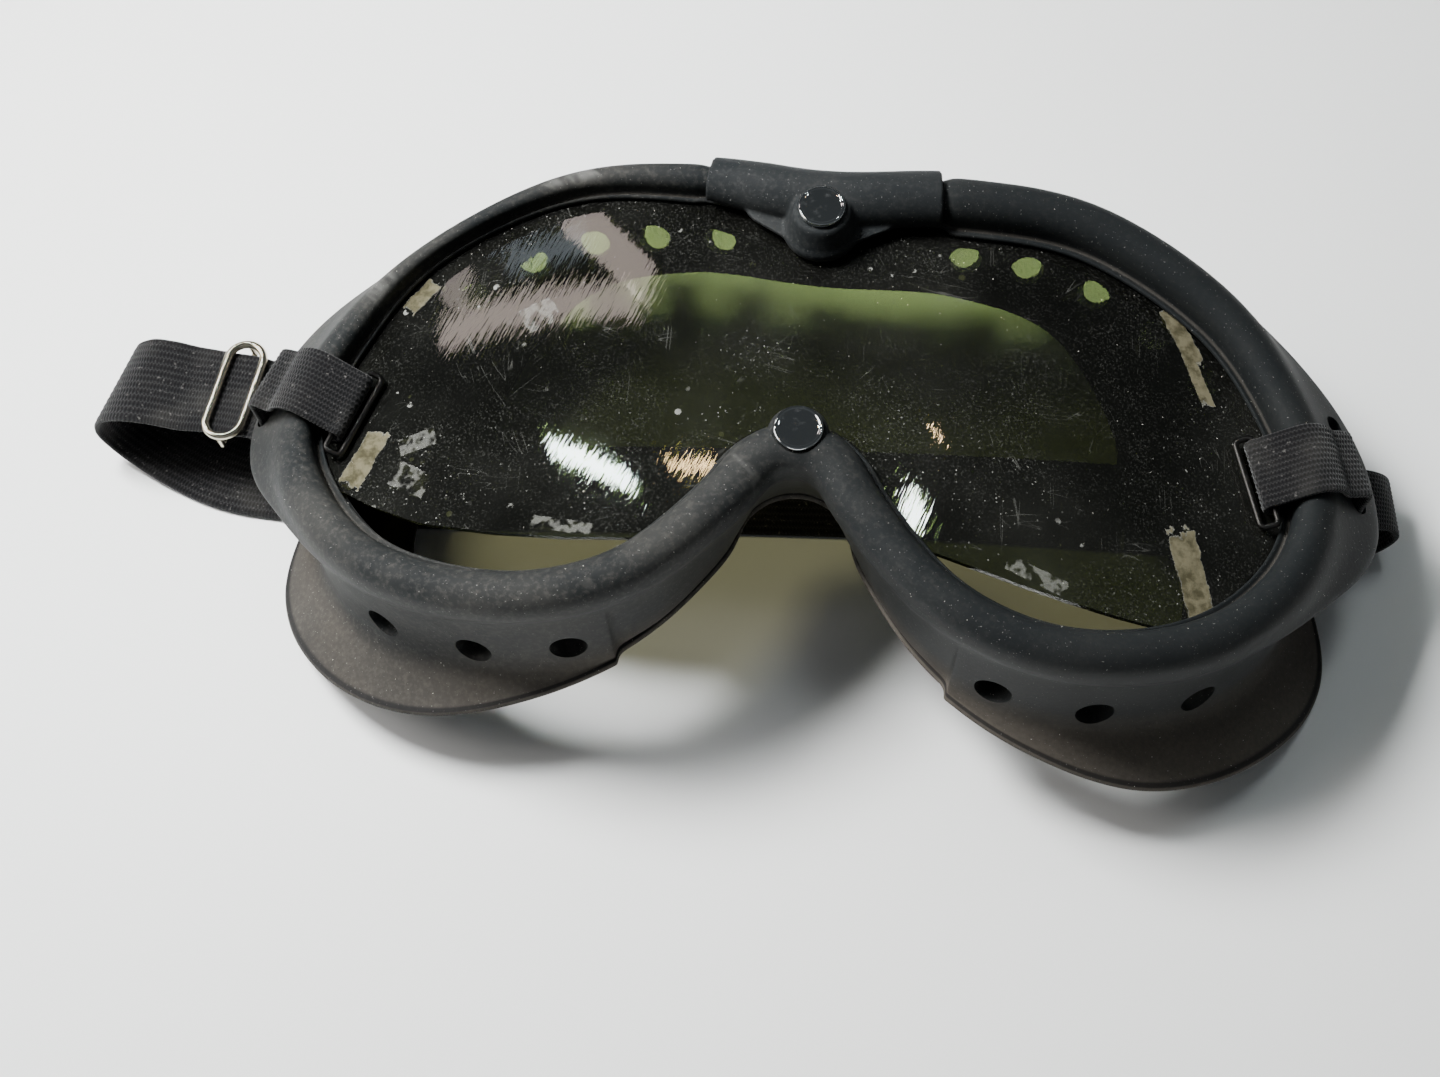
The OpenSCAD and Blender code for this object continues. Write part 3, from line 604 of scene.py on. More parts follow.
def turn_points(name, profile, centre, angle=0, upright=True, steps=48, slope=0, squash=1):
    """A turned cutter, upright, or lying with its axis along angle and slope degrees down."""
    made = turned(name, profile, (0, 0, 0), steps)
    made.data.transform(Matrix.Diagonal((squash, 1, 1, 1)))
    lying = Matrix.Rotation(angle, 4, "Z") @ Matrix.Rotation(math.pi / 2 + math.radians(slope), 4, "Y")
    tilt = Matrix.Identity(4) if upright else lying
    made.data.transform(Matrix.Translation(Vector(centre) * MM) @ tilt)
    return made


def drill(r, low, high):
    return [(0, low), (r, low), (r, high), (0, high)]


def vent(side, u, n, depth, bore, **tilt):
    p, angle = front(u, n, -depth), outward_angle(u)
    if side < 0:
        p[0], angle = -p[0], math.pi - angle
    return turn_points("vent", bore, p, angle, False, **tilt)


def slot(side):
    """A long hole with round ends, through the wing."""
    p, angle = place(slot_at(side), SLOT_N, SLOT_Z), slot_turn(side)
    top, corner = SLOT_LEN / 2 if side > 0 else SLOT_TOP, SLOT_W / 2 - 0.01
    outline = [
        (sx * (SLOT_W / 2 - corner) + x, (top if sy > 0 else -SLOT_LEN / 2) - sy * corner + y)
        for sx, sy, start in ((1, 1, 0), (-1, 1, 90), (-1, -1, 180), (1, -1, 270))
        for x, y in [spoke(a, corner) for a in range(start, start + 91, 15)]
    ]
    c, s = math.cos(angle), math.sin(angle)
    turn = [(x * c - y * s, x * s + y * c) for x, y in outline]
    rings = [[(p[0] + side * x, p[1] + y, p[2] + z) for x, y in turn[::side]] for z in (-15, 15)]
    return add_skin("slot", rings, closed=False)


print("slots are", SLOT_LEN, "and", round(SLOT_LEN / 2 + SLOT_TOP, 1), "mm long")

# %% Frame: the cuts
cutters = []
for side in (1, -1):
    for u in TOP_VENTS[side]:
        depth = VENT_DEPTH + TOP_VENT_DROP + u * TOP_VENT_SINK
        cutters.append(vent(side, u, TOP_VENT_N, depth, drill(TOP_VENT_R, -8, 8),
                            slope=TOP_VENT_SLOPE, squash=TOP_VENT_SQUASH))
    for u in CHEEK_VENTS:
        cutters.append(vent(side, u, 0, VENT_DEPTH, drill(CHEEK_VENT_R, -5, 15)))
cutters += [slot(1), slot(-1)]
for tool, profile, y, z, steps in (
    ("seat", drill(CAP_R + SEAT_GAP, 0, 12), NOSE_SNAP_Y, NOSE_SEAT, 96),
    ("hole", drill(SHANK_R + SNUG, -1.4, 12), NOSE_SNAP_Y, TAB_BACK, 32),
    ("hole", drill(SOCKET_R + 0.1, 0, SOCKET_TOP + 0.1 - TAB_FRONT), NOSE_SNAP_Y, TAB_FRONT, 48),
    ("hole", drill(SHANK_R + SNUG, -1.4, 12), TOP_SNAP_Y, TAB_BACK, 32),
    ("pocket", drill(SOCKET_R + POCKET_ROOM, 0, 20), TOP_SNAP_Y, TAB_FRONT, 48),
    ("pocket", drill(SOCKET_R + POCKET_ROOM, POCKET_ROOM / 2, 20), TOP_SNAP_Y + 0.8, SOCKET_H, 48),
):
    cutters.append(turn_points(tool, profile, (0, y, z), steps=steps))

pad_top = NOSE_SEAT - FRONT_H
pad_profile = [(0, -GROOVE_D), (PAD_R - 0.4, -GROOVE_D), (PAD_R, -GROOVE_D + 0.5), (PAD_R, pad_top - 1.2)]
pad_edge = ((0.12, 0.7), (0.35, 0.35), (0.7, 0.1), (1, 0))
pad_profile += [(PAD_R - inward, pad_top - down) for inward, down in pad_edge]
pad_profile.append((0, pad_top))
pad = turned("pad", pad_profile, (0, NOSE_SNAP_Y, FRONT_H))
cut(frame_skin, pad, "UNION")
for cutter in cutters:
    recalculate(cutter)
    cut(frame_skin, cutter)
frame_skin.data.set_sharp_from_angle(angle=math.radians(38))
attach(frame_skin, "root")
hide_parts("frame")
print("frame has", triangles(frame_skin), "triangles")

# %% [markdown]
# The flap is a second piece of rubber: a roll that wraps the bead, with a raised round boss for the snap.
# On the real one they flow into each other. Separate closed shapes are put together, made one by a voxel
# remesh, and smoothed.

# %% Top flap
FLAP_IN = NECK_R + 0.4
FLAP_OUT = FLAP_IN + 1.3
BOSS_R = 6.7
BOSS_FOOT = -LENS_FRONT + 0.8
ROLL_FROM, ROLL_SWEEP, ROLL_CUTS = 4, 194, 26
roll_angles = [ROLL_FROM + ROLL_SWEEP * i / ROLL_CUTS for i in range(ROLL_CUTS + 1)]


def around(u, r, angles):
    return [front(u, *spoke(a, r)) for a in angles]


flap_reach = FLAP_HALF / ROW_STEP
flap_us = [len(LOOP) + flap_reach * i / 24 for i in range(-24, 25)]
roll_rings = [
    around(u, FLAP_IN - slim(u), roll_angles) + around(u, FLAP_OUT - slim(u), roll_angles[::-1])
    for u in flap_us
]
roll = add_skin("roll", roll_rings, closed=False)
boss_top = TOP_SEAT - FRONT_H
boss_profile = [
    (0, BOSS_FOOT), (BOSS_R - 0.5, BOSS_FOOT), (BOSS_R, BOSS_FOOT + 0.5), (BOSS_R, BOSS_FOOT + 1.8),
    (BOSS_R - 0.5, BOSS_FOOT + 2.7), (CAP_R + 1, boss_top - 0.5), (CAP_R + 0.6, boss_top), (0, boss_top),
]
boss = turned("boss", boss_profile, (0, TOP_SNAP_Y, FRONT_H))
edge_y = at(0)[1] - FLAP_IN


def web_outline():
    """The web's edge seen from the front: tangent lines from a small round at each end to the boss."""
    half = [(12, edge_y - 0.8), (13.4, edge_y + 0.6), (13.4, edge_y + 4)]
    points = [(x, TOP_SNAP_Y + y) for x, y in [spoke(a, BOSS_R - 0.3) for a in range(-150, -29, 6)]]
    return points + half + [(-x, y) for x, y in half[::-1]]


web_depths = (BOSS_FOOT + 0.9, BOSS_FOOT + 1.9)
web_rings = [[(x, y, FRONT_H + d) for x, y in web_outline()] for d in web_depths]
web = add_skin("web", web_rings, closed=False)
bed_angles = [-22.5 * i for i in range(4)]
bed_radii = [FLAP_IN - slim(u) + 0.2 for u in flap_us]
bed_rings = [
    around(u, r, bed_angles)
    + [front(u, -r - 0.3, -r - 0.1), front(u, -r - 0.3, -1.75)]
    + around(u, r, [-180 - 22.5 * i for i in range(8)])
    for u, r in zip(flap_us, bed_radii)
]
bed_tool = recalculate(add_skin("bed", bed_rings, closed=False))
foot = recalculate(boss)
cut(foot, recalculate(web), "UNION")
cut(foot, bed_tool)
recalculate(roll)
flap = join("flap", [roll, foot])
modify(flap, "REMESH", mode="VOXEL", voxel_size=0.00032)
modify(flap, "SMOOTH", factor=0.5, iterations=7)
settle(flap)
for tool in (
    turn_points("seat", drill(CAP_R + SEAT_GAP, 0, 12), (0, TOP_SNAP_Y, TOP_SEAT), steps=96),
    turn_points("hole", drill(SHANK_R + SNUG, -10, 12), (0, TOP_SNAP_Y, TOP_SEAT - 1), steps=32),
    turn_points("hole", drill(SOCKET_R + 0.1, -20, SOCKET_TOP + SNUG), (0, TOP_SNAP_Y, 0)),
):
    cut(flap, recalculate(tool))
flap.data.materials.clear()
flap.data.materials.append(flap_rubber)
flap.data.set_sharp_from_angle(angle=math.radians(40))
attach(flap, "flap")
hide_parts("top_flap")
print("flap has", triangles(flap), "triangles")

# %% [markdown]
# The lens is a flat sheet of dark green plastic bent into the rim. It is one polygon, cut into narrow
# strips across the bend, and each strip's corners are lifted onto the cylinder. What is behind the sheet
# shows green. Glass lets none of a lamp's light straight through in a render, so for shadow and diffuse
# rays it is a plain clear tint. Ragged patches of old tape, smears, fine scratches and a thin film of dust
# lie on it, and its face is faintly rippled.


# %% Lens finish
# Left of tape: place, half-sizes and turn, in mm and degrees
TAPE = [((-76, -7), (2.3, 5.4), -20), ((66.2, -18), (2.4, 8.6), 14), ((64.2, 28.6), (1.7, 5.6), 28),
        ((66.5, 22), (1.1, 6.5), 22), ((-71.5, 26.5), (1.7, 3.4), -38)]
SMEARS = [((-66, -11.5), (3.6, 2.2), -25), ((-66.5, -4), (3, 1.6), 20), ((-38, -20.4), (5, 1.1), -8),
          ((40, -22), (5, 1.4), -20), ((-48, 21), (3, 2.6), 30)]
SCRATCHES = ((0.5, 420), (-0.75, 360), (1.3, 470), (-1.45, 440), (0.05, 400))
TINT, LIGHT_THROUGH = (0.088, 0.118, 0.038), (0.23, 0.222, 0.155)
DUST, TAPE_DARK, TAPE_PALE = (0.36, 0.36, 0.33), (0.038, 0.034, 0.018), (0.1, 0.09, 0.056)


def any_of(pieces):
    """The highest of several masks."""
    whole = pieces[0]
    for piece in pieces[1:]:
        whole = whole.or_(piece)
    return whole


def scratch_lines(f, k, angle, scale):
    line = (0.5 - f.noise(scale, 1, 0.4, at=f.drawn(angle, 40))).math("ABSOLUTE")
    return (0.007 - line).step(0, 0.007) * f.noise(70 + 6 * k, 2).step(0.63, 0.68)


def lens_finish():
    f = Finish("lens")
    x, y = (f.node("SeparateXYZ", None, {0: f.place}, output=k) for k in "XY")
    cloud, crumb = f.noise(60, 4, 0.6), f.noise(420, 4, 0.65)
    spread = f.noise(26, 3, 0.6)
    fine = (0.17 - f.cells(950)).step(0.0, 0.05) * spread.step(0.42, 0.62) * f.noise(300, 2).step(0.4, 0.55)
    bold = (0.15 - f.cells(210)).step(0.0, 0.05) * crumb.step(0.5, 0.56) * f.noise(40, 2).step(0.5, 0.58)
    haze = f.noise(2400, 3, 0.7).step(0.5, 0.75) * cloud.step(0.3, 0.7) * 0.22
    scratch = any_of([scratch_lines(f, k, *row) for k, row in enumerate(SCRATCHES)])
    tape = any_of([f.patch(x, y, *row, crumb) for row in TAPE])
    smear = any_of([f.patch(x, y, *row, crumb * 0.5 + cloud * 0.6) for row in SMEARS])
    smear = smear * (0.5 - f.noise(190, 3, 0.6)).math("ABSOLUTE").step(0.09, 0.02)
    film = 0.004 + f.noise(22, 4, 0.6).step(0.35, 0.75) * 0.016
    dust = (fine * 0.3 + bold * 0.5 + haze * 0.4 + scratch * 0.08 + smear * 0.18 + film).math("MINIMUM", 0.8)
    glass = f.node("BsdfPrincipled", None, {
        "Base Color": TINT, "Roughness": 0.02 + haze * 0.25, "IOR": 1.5, "Transmission Weight": 1.0,
        "Normal": f.bump(f.noise(1300, 2, 0.6, at=f.drawn(-0.3, 9)), 0.000016, 0.8),
    })
    shade = f.node("BsdfTransparent", None, {"Color": LIGHT_THROUGH})
    unseen = f.node("LightPath", output="Is Shadow Ray").or_(f.node("LightPath", output="Is Diffuse Ray"))
    clear = f.node("MixShader", None, {0: unseen, 1: glass, 2: shade})
    soil = f.mix(tape, DUST, f.mix(crumb.step(0.35, 0.62), TAPE_DARK, TAPE_PALE))
    relief = f.bump(crumb, 0.0003, 0.7)
    dirt = f.node("BsdfPrincipled", None, {"Base Color": soil, "Roughness": 0.85, "Normal": relief})
    return f.surface(f.node("MixShader", None, {0: dust.or_(tape), 1: clear, 2: dirt}))


lens_green = lens_finish()
print("lens finish ready")

# %% Lens
# x and y of the lower edge, which has come out of the groove
LOW_EDGE = [
    (-100, -10.8), (-83, -10.8), (-73, -16.1), (-63, -20), (-50, -21.9), (-38, -22.6), (-25, -22.3),
    (-15, -20.5), (0, -60), (15, -19), (21, -19.9), (30, -22.2), (38, -24.2), (47, -26), (55, -27.2),
    (63, -27.7), (70, -25), (76, -20), (83, -12), (100, -12),
]
LENS_STEPS, STRIPS = 4, 60
outline = []
for i in range(len(LOOP) * LENS_STEPS):
    px, py, _ = place(i / LENS_STEPS, -GROOVE_N - 0.4, 0)
    outline.append((px, max(py, float(np.interp(px, *zip(*LOW_EDGE)))) if py < 0 else py))
work = bmesh.new()
work.faces.new([work.verts.new((px, py, 0)) for px, py in outline])
reach = max(px for px, py in outline)
for i in range(1, 2 * STRIPS):
    bmesh.ops.bisect_plane(work, geom=work.verts[:] + work.edges[:] + work.faces[:], dist=1e-6,
                           plane_co=(reach * (i / STRIPS - 1), 0, 0), plane_no=(1, 0, 0))
for vert in work.verts:
    vert.co.z = surface_h(vert.co.x, -LENS_FRONT)
bmesh.ops.scale(work, verts=work.verts, vec=(MM, MM, MM))
lens_mesh = bpy.data.meshes.new("lens_sheet")
work.to_mesh(lens_mesh)
work.free()
lens_sheet = bpy.data.objects.new("lens_sheet", lens_mesh)
scene.collection.objects.link(lens_sheet)
lens_mesh.materials.append(lens_green)
if sum(p.normal.z for p in lens_mesh.polygons) < 0:
    lens_mesh.flip_normals()
modify(lens_sheet, "SOLIDIFY", thickness=LENS_T * MM, offset=-1, use_even_offset=True)
settle(lens_sheet)
for hole_y in (TOP_SNAP_Y, NOSE_SNAP_Y):
    cut(lens_sheet, recalculate(turn_points("hole", drill(SOCKET_R + 0.5, 0, 100), (0, hole_y, 0))))
lens_sheet.data.set_sharp_from_angle(angle=math.radians(30))
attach(lens_sheet, "root")
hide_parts("lens")
print("lens has", triangles(lens_sheet), "triangles")

# %% [markdown]
# Crumbs of dust lie on every face that looks up. A tree of geometry nodes scatters them: it takes points on
# those faces, puts a tiny rough stone on each, and turns and sizes it at random from a fixed seed.


# %% Dust crumbs
FACES_UP = 0.35


def scatter_tree():
    tree = bpy.data.node_groups.new("scatter", "GeometryNodeTree")
    named = {"Surface": "Geometry", "Density": "Float", "Size": "Float", "Seed": "Int", "Finish": "Material"}
    for label, kind in named.items():
        tree.interface.new_socket(label, in_out="INPUT", socket_type="NodeSocket" + kind)
    tree.interface.new_socket("Crumbs", in_out="OUTPUT", socket_type="NodeSocketGeometry")

    def add(kind, settings=None, **links):
        node = tree.nodes.new(kind)
        for key, value in (settings or {}).items():
            setattr(node, key, value)
        for key, value in links.items():
            socket = node.inputs[int(key[1:]) if key[0] == "_" else key]
            if isinstance(value, bpy.types.NodeSocket):
                tree.links.new(value, socket)
            else:
                socket.default_value = value
        return node

    given = tree.nodes.new("NodeGroupInput").outputs
    up = add("ShaderNodeSeparateXYZ", _0=add("GeometryNodeInputNormal").outputs[0]).outputs["Z"]
    faces_up = add("ShaderNodeMath", {"operation": "GREATER_THAN"}, _0=up, _1=FACES_UP).outputs[0]
    points = add("GeometryNodeDistributePointsOnFaces", None, Mesh=given["Surface"], Selection=faces_up,
                 Density=given["Density"], Seed=given["Seed"])
    stone = add("GeometryNodeMeshIcoSphere", None, Radius=1.0, Subdivisions=1)
    vector = {"data_type": "FLOAT_VECTOR"}
    turn = add("FunctionNodeRandomValue", vector, _0=(0, 0, 0), _1=(6.28, 6.28, 6.28), Seed=given["Seed"])
    shape = add("FunctionNodeRandomValue", vector, _0=(0.3, 0.3, 0.2), _1=(1.5, 1.0, 0.7), Seed=given["Seed"])
    size = add("ShaderNodeVectorMath", {"operation": "SCALE"}, _0=shape.outputs[0], Scale=given["Size"])
    placed = add("GeometryNodeInstanceOnPoints", None, Points=points.outputs["Points"],
                 Instance=stone.outputs["Mesh"], Rotation=turn.outputs[0], Scale=size.outputs[0])
    real = add("GeometryNodeRealizeInstances", None, Geometry=placed.outputs[0])
    dressed = add("GeometryNodeSetMaterial", None, Geometry=real.outputs[0], Material=given["Finish"])
    tree.links.new(dressed.outputs[0], tree.nodes.new("NodeGroupOutput").inputs[0])
    return tree


def scatter(name, tree, surfaces, finish, density, size, seed):
    made = join(name, [bpy.data.objects.new(o.name + "_copy", o.data.copy()) for o in surfaces])
    modifier = modify(made, "NODES", node_group=tree)
    sockets = {item.name: item.identifier for item in tree.interface.items_tree if item.in_out == "INPUT"}
    for key, value in (("Density", density), ("Size", size), ("Seed", seed), ("Finish", finish)):
        modifier[sockets[key]] = value
    settle(made)
    return made


crumb_finish = Finish("crumbs")
crumb_shader = crumb_finish.node("BsdfPrincipled", None, {"Base Color": (0.42, 0.4, 0.36), "Roughness": 0.95})
crumbs = scatter("dust_crumbs", scatter_tree(), [frame_skin, lens_sheet], crumb_finish.surface(crumb_shader),
                 density=22000, size=0.00011, seed=7)
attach(crumbs, "root")
print("dust has", triangles(crumbs), "triangles")

# %% [markdown]
# Plated metal is bright only where it mirrors something bright. A polished cap is nearly a mirror, and what
# makes it look used is a little haze, hairline scratches and darker tarnish. The links' wire is blackened,
# and duller.


# %% Metals
def metal(name, colour, tarnish, roughness, spread=0.5):
    f = Finish(name)
    cloud = f.noise(700, 4, 0.65)
    hair = f.noise(2500, 2, 0.6, at=f.drawn(0.7, 16))
    stain = cloud.step(0.56, 0.78) * spread
    shader = f.node("BsdfPrincipled", None, {
        "Base Color": f.mix(stain, colour, tarnish), "Metallic": 1 - stain * 0.3,
        "Roughness": roughness + cloud * 0.08 + stain * 0.3,
        "Normal": f.bump(hair * 0.6 + cloud * 0.4, 0.000008, 0.3),
    })
    return f.surface(shader)


chrome = metal("snap_chrome", (0.6, 0.62, 0.63), (0.14, 0.12, 0.1), 0.02, 0.12)
finishes = {
    "snap_chrome": chrome,
    "snap_brass": metal("snap_brass", (0.6, 0.5, 0.34), (0.12, 0.09, 0.06), 0.25),
    "snap_steel": metal("snap_steel", (0.5, 0.5, 0.5), (0.12, 0.11, 0.1), 0.25),
    "slider_wire": metal("slider_wire", (0.8, 0.74, 0.6), (0.3, 0.2, 0.1), 0.16, 0.3),
    "link_wire": metal("link_wire", (0.09, 0.088, 0.085), (0.05, 0.04, 0.03), 0.35),
}
for row in frame["record"]["subparts"]:
    if row["material_slot"] in finishes:
        node = frame["nodes"][row["node"]]
        node.data.materials.clear()
        node.data.materials.append(finishes[row["material_slot"]])
print("metals ready")

# %% [markdown]
# A cap is pressed from thin sheet: a flat face, a rim that is rolled over, and a shank that goes down into
# the socket. It is turned from one profile.

# %% Snap caps
CAP_T, ROLL_R, ROLL_H, FACE_DROP, DOME = 1.2, 0.34, 0.36, 0.17, 0.05


def cap_profile(shank):
    profile = [(0, shank), (SHANK_R, shank), (SHANK_R, 0)]
    profile += [(CAP_R - inward, z) for inward, z in ((0.5, 0), (0.25, 0.08), (0.08, 0.26), (0, 0.5))]
    roll = [spoke(a) for a in range(10, 121, 10)]
    profile += [(CAP_R - ROLL_R + ROLL_R * x, CAP_T - ROLL_H + ROLL_H * y) for x, y in roll]
    profile += [(CAP_R - 0.62, CAP_T - 0.1), (CAP_R - 0.74, CAP_T - 0.16), (CAP_R - 0.95, CAP_T - FACE_DROP)]
    profile += [(r, CAP_T - FACE_DROP + DOME * (1 - (r / 3.2) ** 2)) for r in (2.8, 2.2, 1.5, 0.7)]
    return profile + [(0, CAP_T - FACE_DROP + DOME)]


for name, y, seat, body in (
    ("top_snap_cap", TOP_SNAP_Y, TOP_SEAT, "flap"),
    ("nose_snap_cap", NOSE_SNAP_Y, NOSE_SEAT, "root"),
):
    profile = cap_profile(SOCKET_TOP - seat)
    cap = recalculate(turned(name + "_shell", profile, (0, y, seat + SNUG), finish=chrome))
    cap.data.set_sharp_from_angle(angle=math.radians(50))
    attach(cap, body)
    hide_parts(name)
    print(cap.name, "has", triangles(cap), "triangles")

# %% [markdown]
# The headband is a woven elastic about 18 mm wide with rubber cores along its length, so its face is
# ribbed. It is swept along the same route as its solid. The ribs are in the mesh, and the weave's fine
# stitches are bump and paler thread. Its colour also holds painted shade in the valleys between the ribs
# and a painted highlight on their crests.

# %% Headband route
# Points of the route are x, y, z, the width there, its tilt in degrees, and its rise along the slot
BAND_W, SLIDER_W, END_W, BAND_SHIFT, BAND_T, BAND_GAP = 18, 17.2, 12.4, 2.6, 1.2, 0.3
LINK_N, WIRE_R = -9, 0.55
BAR_D = -LENS_FRONT + 2 * BAND_GAP + BAND_T + WIRE_R
FOLD_R, OVER_R, TAIL = WIRE_R + BAND_GAP + BAND_T / 2, BEAD_R + BAND_GAP + 0.2 + BAND_T / 2, 1.6
SLIDER_H, RUN_H = 15.2, BAND_T / 2 + 0.1


def slot_rise(side):
    x = abs(at(slot_at(side))[0])
    return math.sin(slot_turn(side)) * x / math.sqrt(LENS_RADIUS**2 - x * x)


def shifted(side, n, d):
    p, t = front(slot_at(side), n, d), heading(slot_at(side))
    return [p[0] + side * t[0] * BAND_SHIFT, p[1] + side * t[1] * BAND_SHIFT, p[2]]


def end_point(side, n, d):
    return shifted(side, n, d) + [END_W, -side * math.degrees(slot_turn(side)), slot_rise(side)]


def swing(side, start, step, count, r, n=0, d=0):
    return [end_point(side, n + x, d + y) for x, y in [spoke(start + step * i, r) for i in range(count)]]


def band_end(side):
    turn = -side * math.degrees(slot_turn(side))
    drops = [shifted(side, SLOT_N, 0)[:2] + [z, END_W, turn, 0] for z in (31, 27, 23, 19.6)]
    fold = swing(side, -90, -36, 6, FOLD_R, LINK_N, BAR_D)
    return [end_point(side, LINK_N + TAIL, BAR_D - FOLD_R)] + fold + swing(side, 125, -22, 5, OVER_R) + drops


LEFT_LOOP = [
    (-97.3, 8.7, 17, 12.8, 18), (-99.6, 9.9, 15.7, 14.6, 12), (-102.4, 11.4, SLIDER_H, 16.6, 6),
    (-106, 12.3, SLIDER_H, SLIDER_W, 0), (-110.5, 12.7, SLIDER_H, SLIDER_W, 0), (-117, 13, SLIDER_H, 18, 0),
    (-122, 13, 16.6, 18, 4), (-126.5, 12.9, 17, 18, 8), (-130.8, 13.2, 14.6, 18, 12),
    (-133, 13.4, 9.6, 18, 12), (-131, 12.6, 5, 18, 12), (-126, 10.4, 2.2, 18, 8),
    (-118, 6.8, 0.9, 18, 4), (-109, 3.9, RUN_H, 18, 0), (-98, 3, RUN_H, 18, 0),
]
UNDER = ((-80, 3.4), (-55, 4.9), (-28, 7), (0, 8.9), (28, 10.3), (55, 11), (80, 11.1))
UNDER_RUN = [(x, y, RUN_H, BAND_W, 0) for x, y in UNDER]
RIGHT_LOOP = [
    (93, 11.1, RUN_H, 18, 0), (99.2, 11.1, 1.7, 16.4, -2), (104.2, 11.1, 4.4, 13.6, -4),
    (106.4, 11, 8.4, 11.8, -6), (104.8, 10.7, 12, 11.6, -8), (101, 10, 14.2, 12, -11),
    (97.4, 8.9, 15.4, 12.4, -14), (95.1, 7.9, 17, 12.4, -16),
]
middle = [list(p) + [0] for p in LEFT_LOOP + UNDER_RUN + RIGHT_LOOP]
route = band_end(-1) + middle + band_end(1)[::-1]


def on_route(s):
    i = min(int(s), len(route) - 2)
    rows = [route[max(0, min(len(route) - 1, i + k))] for k in (-1, 0, 1, 2)]
    return [smooth4(*values, s - i) for values in zip(*rows)]


STRIDE, SHARES = 0.8, 60
fine = [on_route(i / SHARES) for i in range((len(route) - 1) * SHARES + 1)]
travel = [0]
for p, q in zip(fine, fine[1:]):
    travel.append(travel[-1] + math.dist(p[:3], q[:3]))
band_length = travel[-1]
stops = int(band_length / STRIDE)
wanted = np.linspace(0, band_length, stops + 1)
band_rows = np.array([np.interp(wanted, travel, column) for column in zip(*fine)]).T
print("headband is", round(band_length), "mm long, with", stops, "sections")

# %% Headband weave
RIBS, STITCH = 13, 0.62


def elastic():
    f = Finish("elastic")
    across = f.node("UVMap", {"uv_map": "weave"})
    u, v = (f.node("SeparateXYZ", None, {0: across}, output=k) for k in "XY")
    # The rib factor is 1 on the rib crests and 0 in the valleys, and feeds only colour: painted light and
    # shade
    painted_rib_shading = (u * (RIBS * math.tau)).math("COSINE") * 0.5 + 0.5
    shift = (u * (RIBS * math.pi)).math("SINE").math("SIGN") * 1.57
    stitch = (v * (math.tau / STITCH) + shift).math("SINE") * 0.5 + 0.5
    thread = f.noise(5200, 3, 0.6)
    lint = f.noise(1400, 2).step(0.64, 0.74)
    cloud = f.noise(90, 3)
    # Paler stitch thread, palest on the rib crests as painted highlight and darkened in the valleys as
    # painted shade
    colour = f.mix(stitch * painted_rib_shading * 0.7, (0.004, 0.004, 0.0045), (0.026, 0.025, 0.025))
    colour = f.mix(cloud.step(0.45, 0.8) * 0.35, colour, (0.05, 0.048, 0.044))
    colour = f.mix(lint * 0.3, colour, (0.2, 0.19, 0.18))
    height = stitch * 0.7 + thread * 0.5
    shader = f.node("BsdfPrincipled", None, {
        "Base Color": colour, "Roughness": 0.9, "Sheen Weight": 0.12, "Sheen Roughness": 0.5,
        "Specular IOR Level": 0.25, "Normal": f.bump(height, 0.00014, 0.8),
    })
    return f.surface(shader)


elastic_weave = elastic()
print("elastic has", RIBS, "ribs")

# %% Headband
RIB_POINTS, RIB_DEEP, EDGE_ROUND = 4, 0.16, 0.18
span = RIBS * RIB_POINTS


def rib_height(k):
    return RIB_DEEP * (math.cos(math.tau * k / RIB_POINTS) - 1) / 2 if 0 < k < span else -RIB_DEEP


profile = [(k / span, 1, rib_height(k)) for k in range(span + 1)]
profile += [(k / span, -1, rib_height(k)) for k in range(span, -1, -1)]
band_rings, band_uv = [], []
for i, row in enumerate(band_rows):
    before, after = band_rows[max(0, i - 1)], band_rows[min(stops, i + 1)]
    along = Vector(after[:3] - before[:3]).normalized()
    lean = Vector((*spoke(row[4])[::-1], row[5]))
    wide = (lean - lean.dot(along) * along).normalized()
    thick = along.cross(wide)
    middle_point, width = Vector(row[:3]), row[3]
    ring = []
    for share, side, low in profile:
        near_edge = min(share, 1 - share) * span
        half = BAND_T / 2 + low - (EDGE_ROUND if near_edge < 1 else 0)
        ring.append(middle_point + wide * width * (share - 0.5) + thick * side * half)
    band_rings.append(ring)
    band_uv.append([(share, wanted[i]) for share, side, low in profile])
headband = add_skin("headband_elastic", band_rings, closed=False, finish=elastic_weave)
uv_layer = headband.data.uv_layers.new(name="weave")
flat_uv = [uv for ring in band_uv for uv in ring]
for loop in headband.data.loops:
    uv_layer.data[loop.index].uv = flat_uv[loop.vertex_index]
recalculate(headband)
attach(headband, "root")
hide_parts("headband")
band_area = sum(row[3] for row in band_rows) / len(band_rows) * band_length
print("headband has", triangles(headband), "triangles, flat area", round(band_area), "mm2")

# %% [markdown]
# A white desk top is nearly even, with a faint sheen. It is not part of the object.

# %% Desk
DESK_HALF = 3000
desk_finish = Finish("desk")
desk_colour = desk_finish.mix(desk_finish.noise(5, 3).step(0.3, 0.8), (0.8, 0.805, 0.8), (0.78, 0.775, 0.765))
desk_look = {"Base Color": desk_colour, "Roughness": 0.36, "Specular IOR Level": 0.35}
desk_shader = desk_finish.node("BsdfPrincipled", None, desk_look)
desk_corners = [(DESK_HALF * x, DESK_HALF * y, 0) for x, y in ((-1, -1), (1, -1), (1, 1), (-1, 1))]
desk = add_object("desk", desk_corners, [(0, 1, 2, 3)], finish=desk_finish.surface(desk_shader), smooth=False)
desk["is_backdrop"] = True
print("desk is", 2 * DESK_HALF * MM, "m wide")

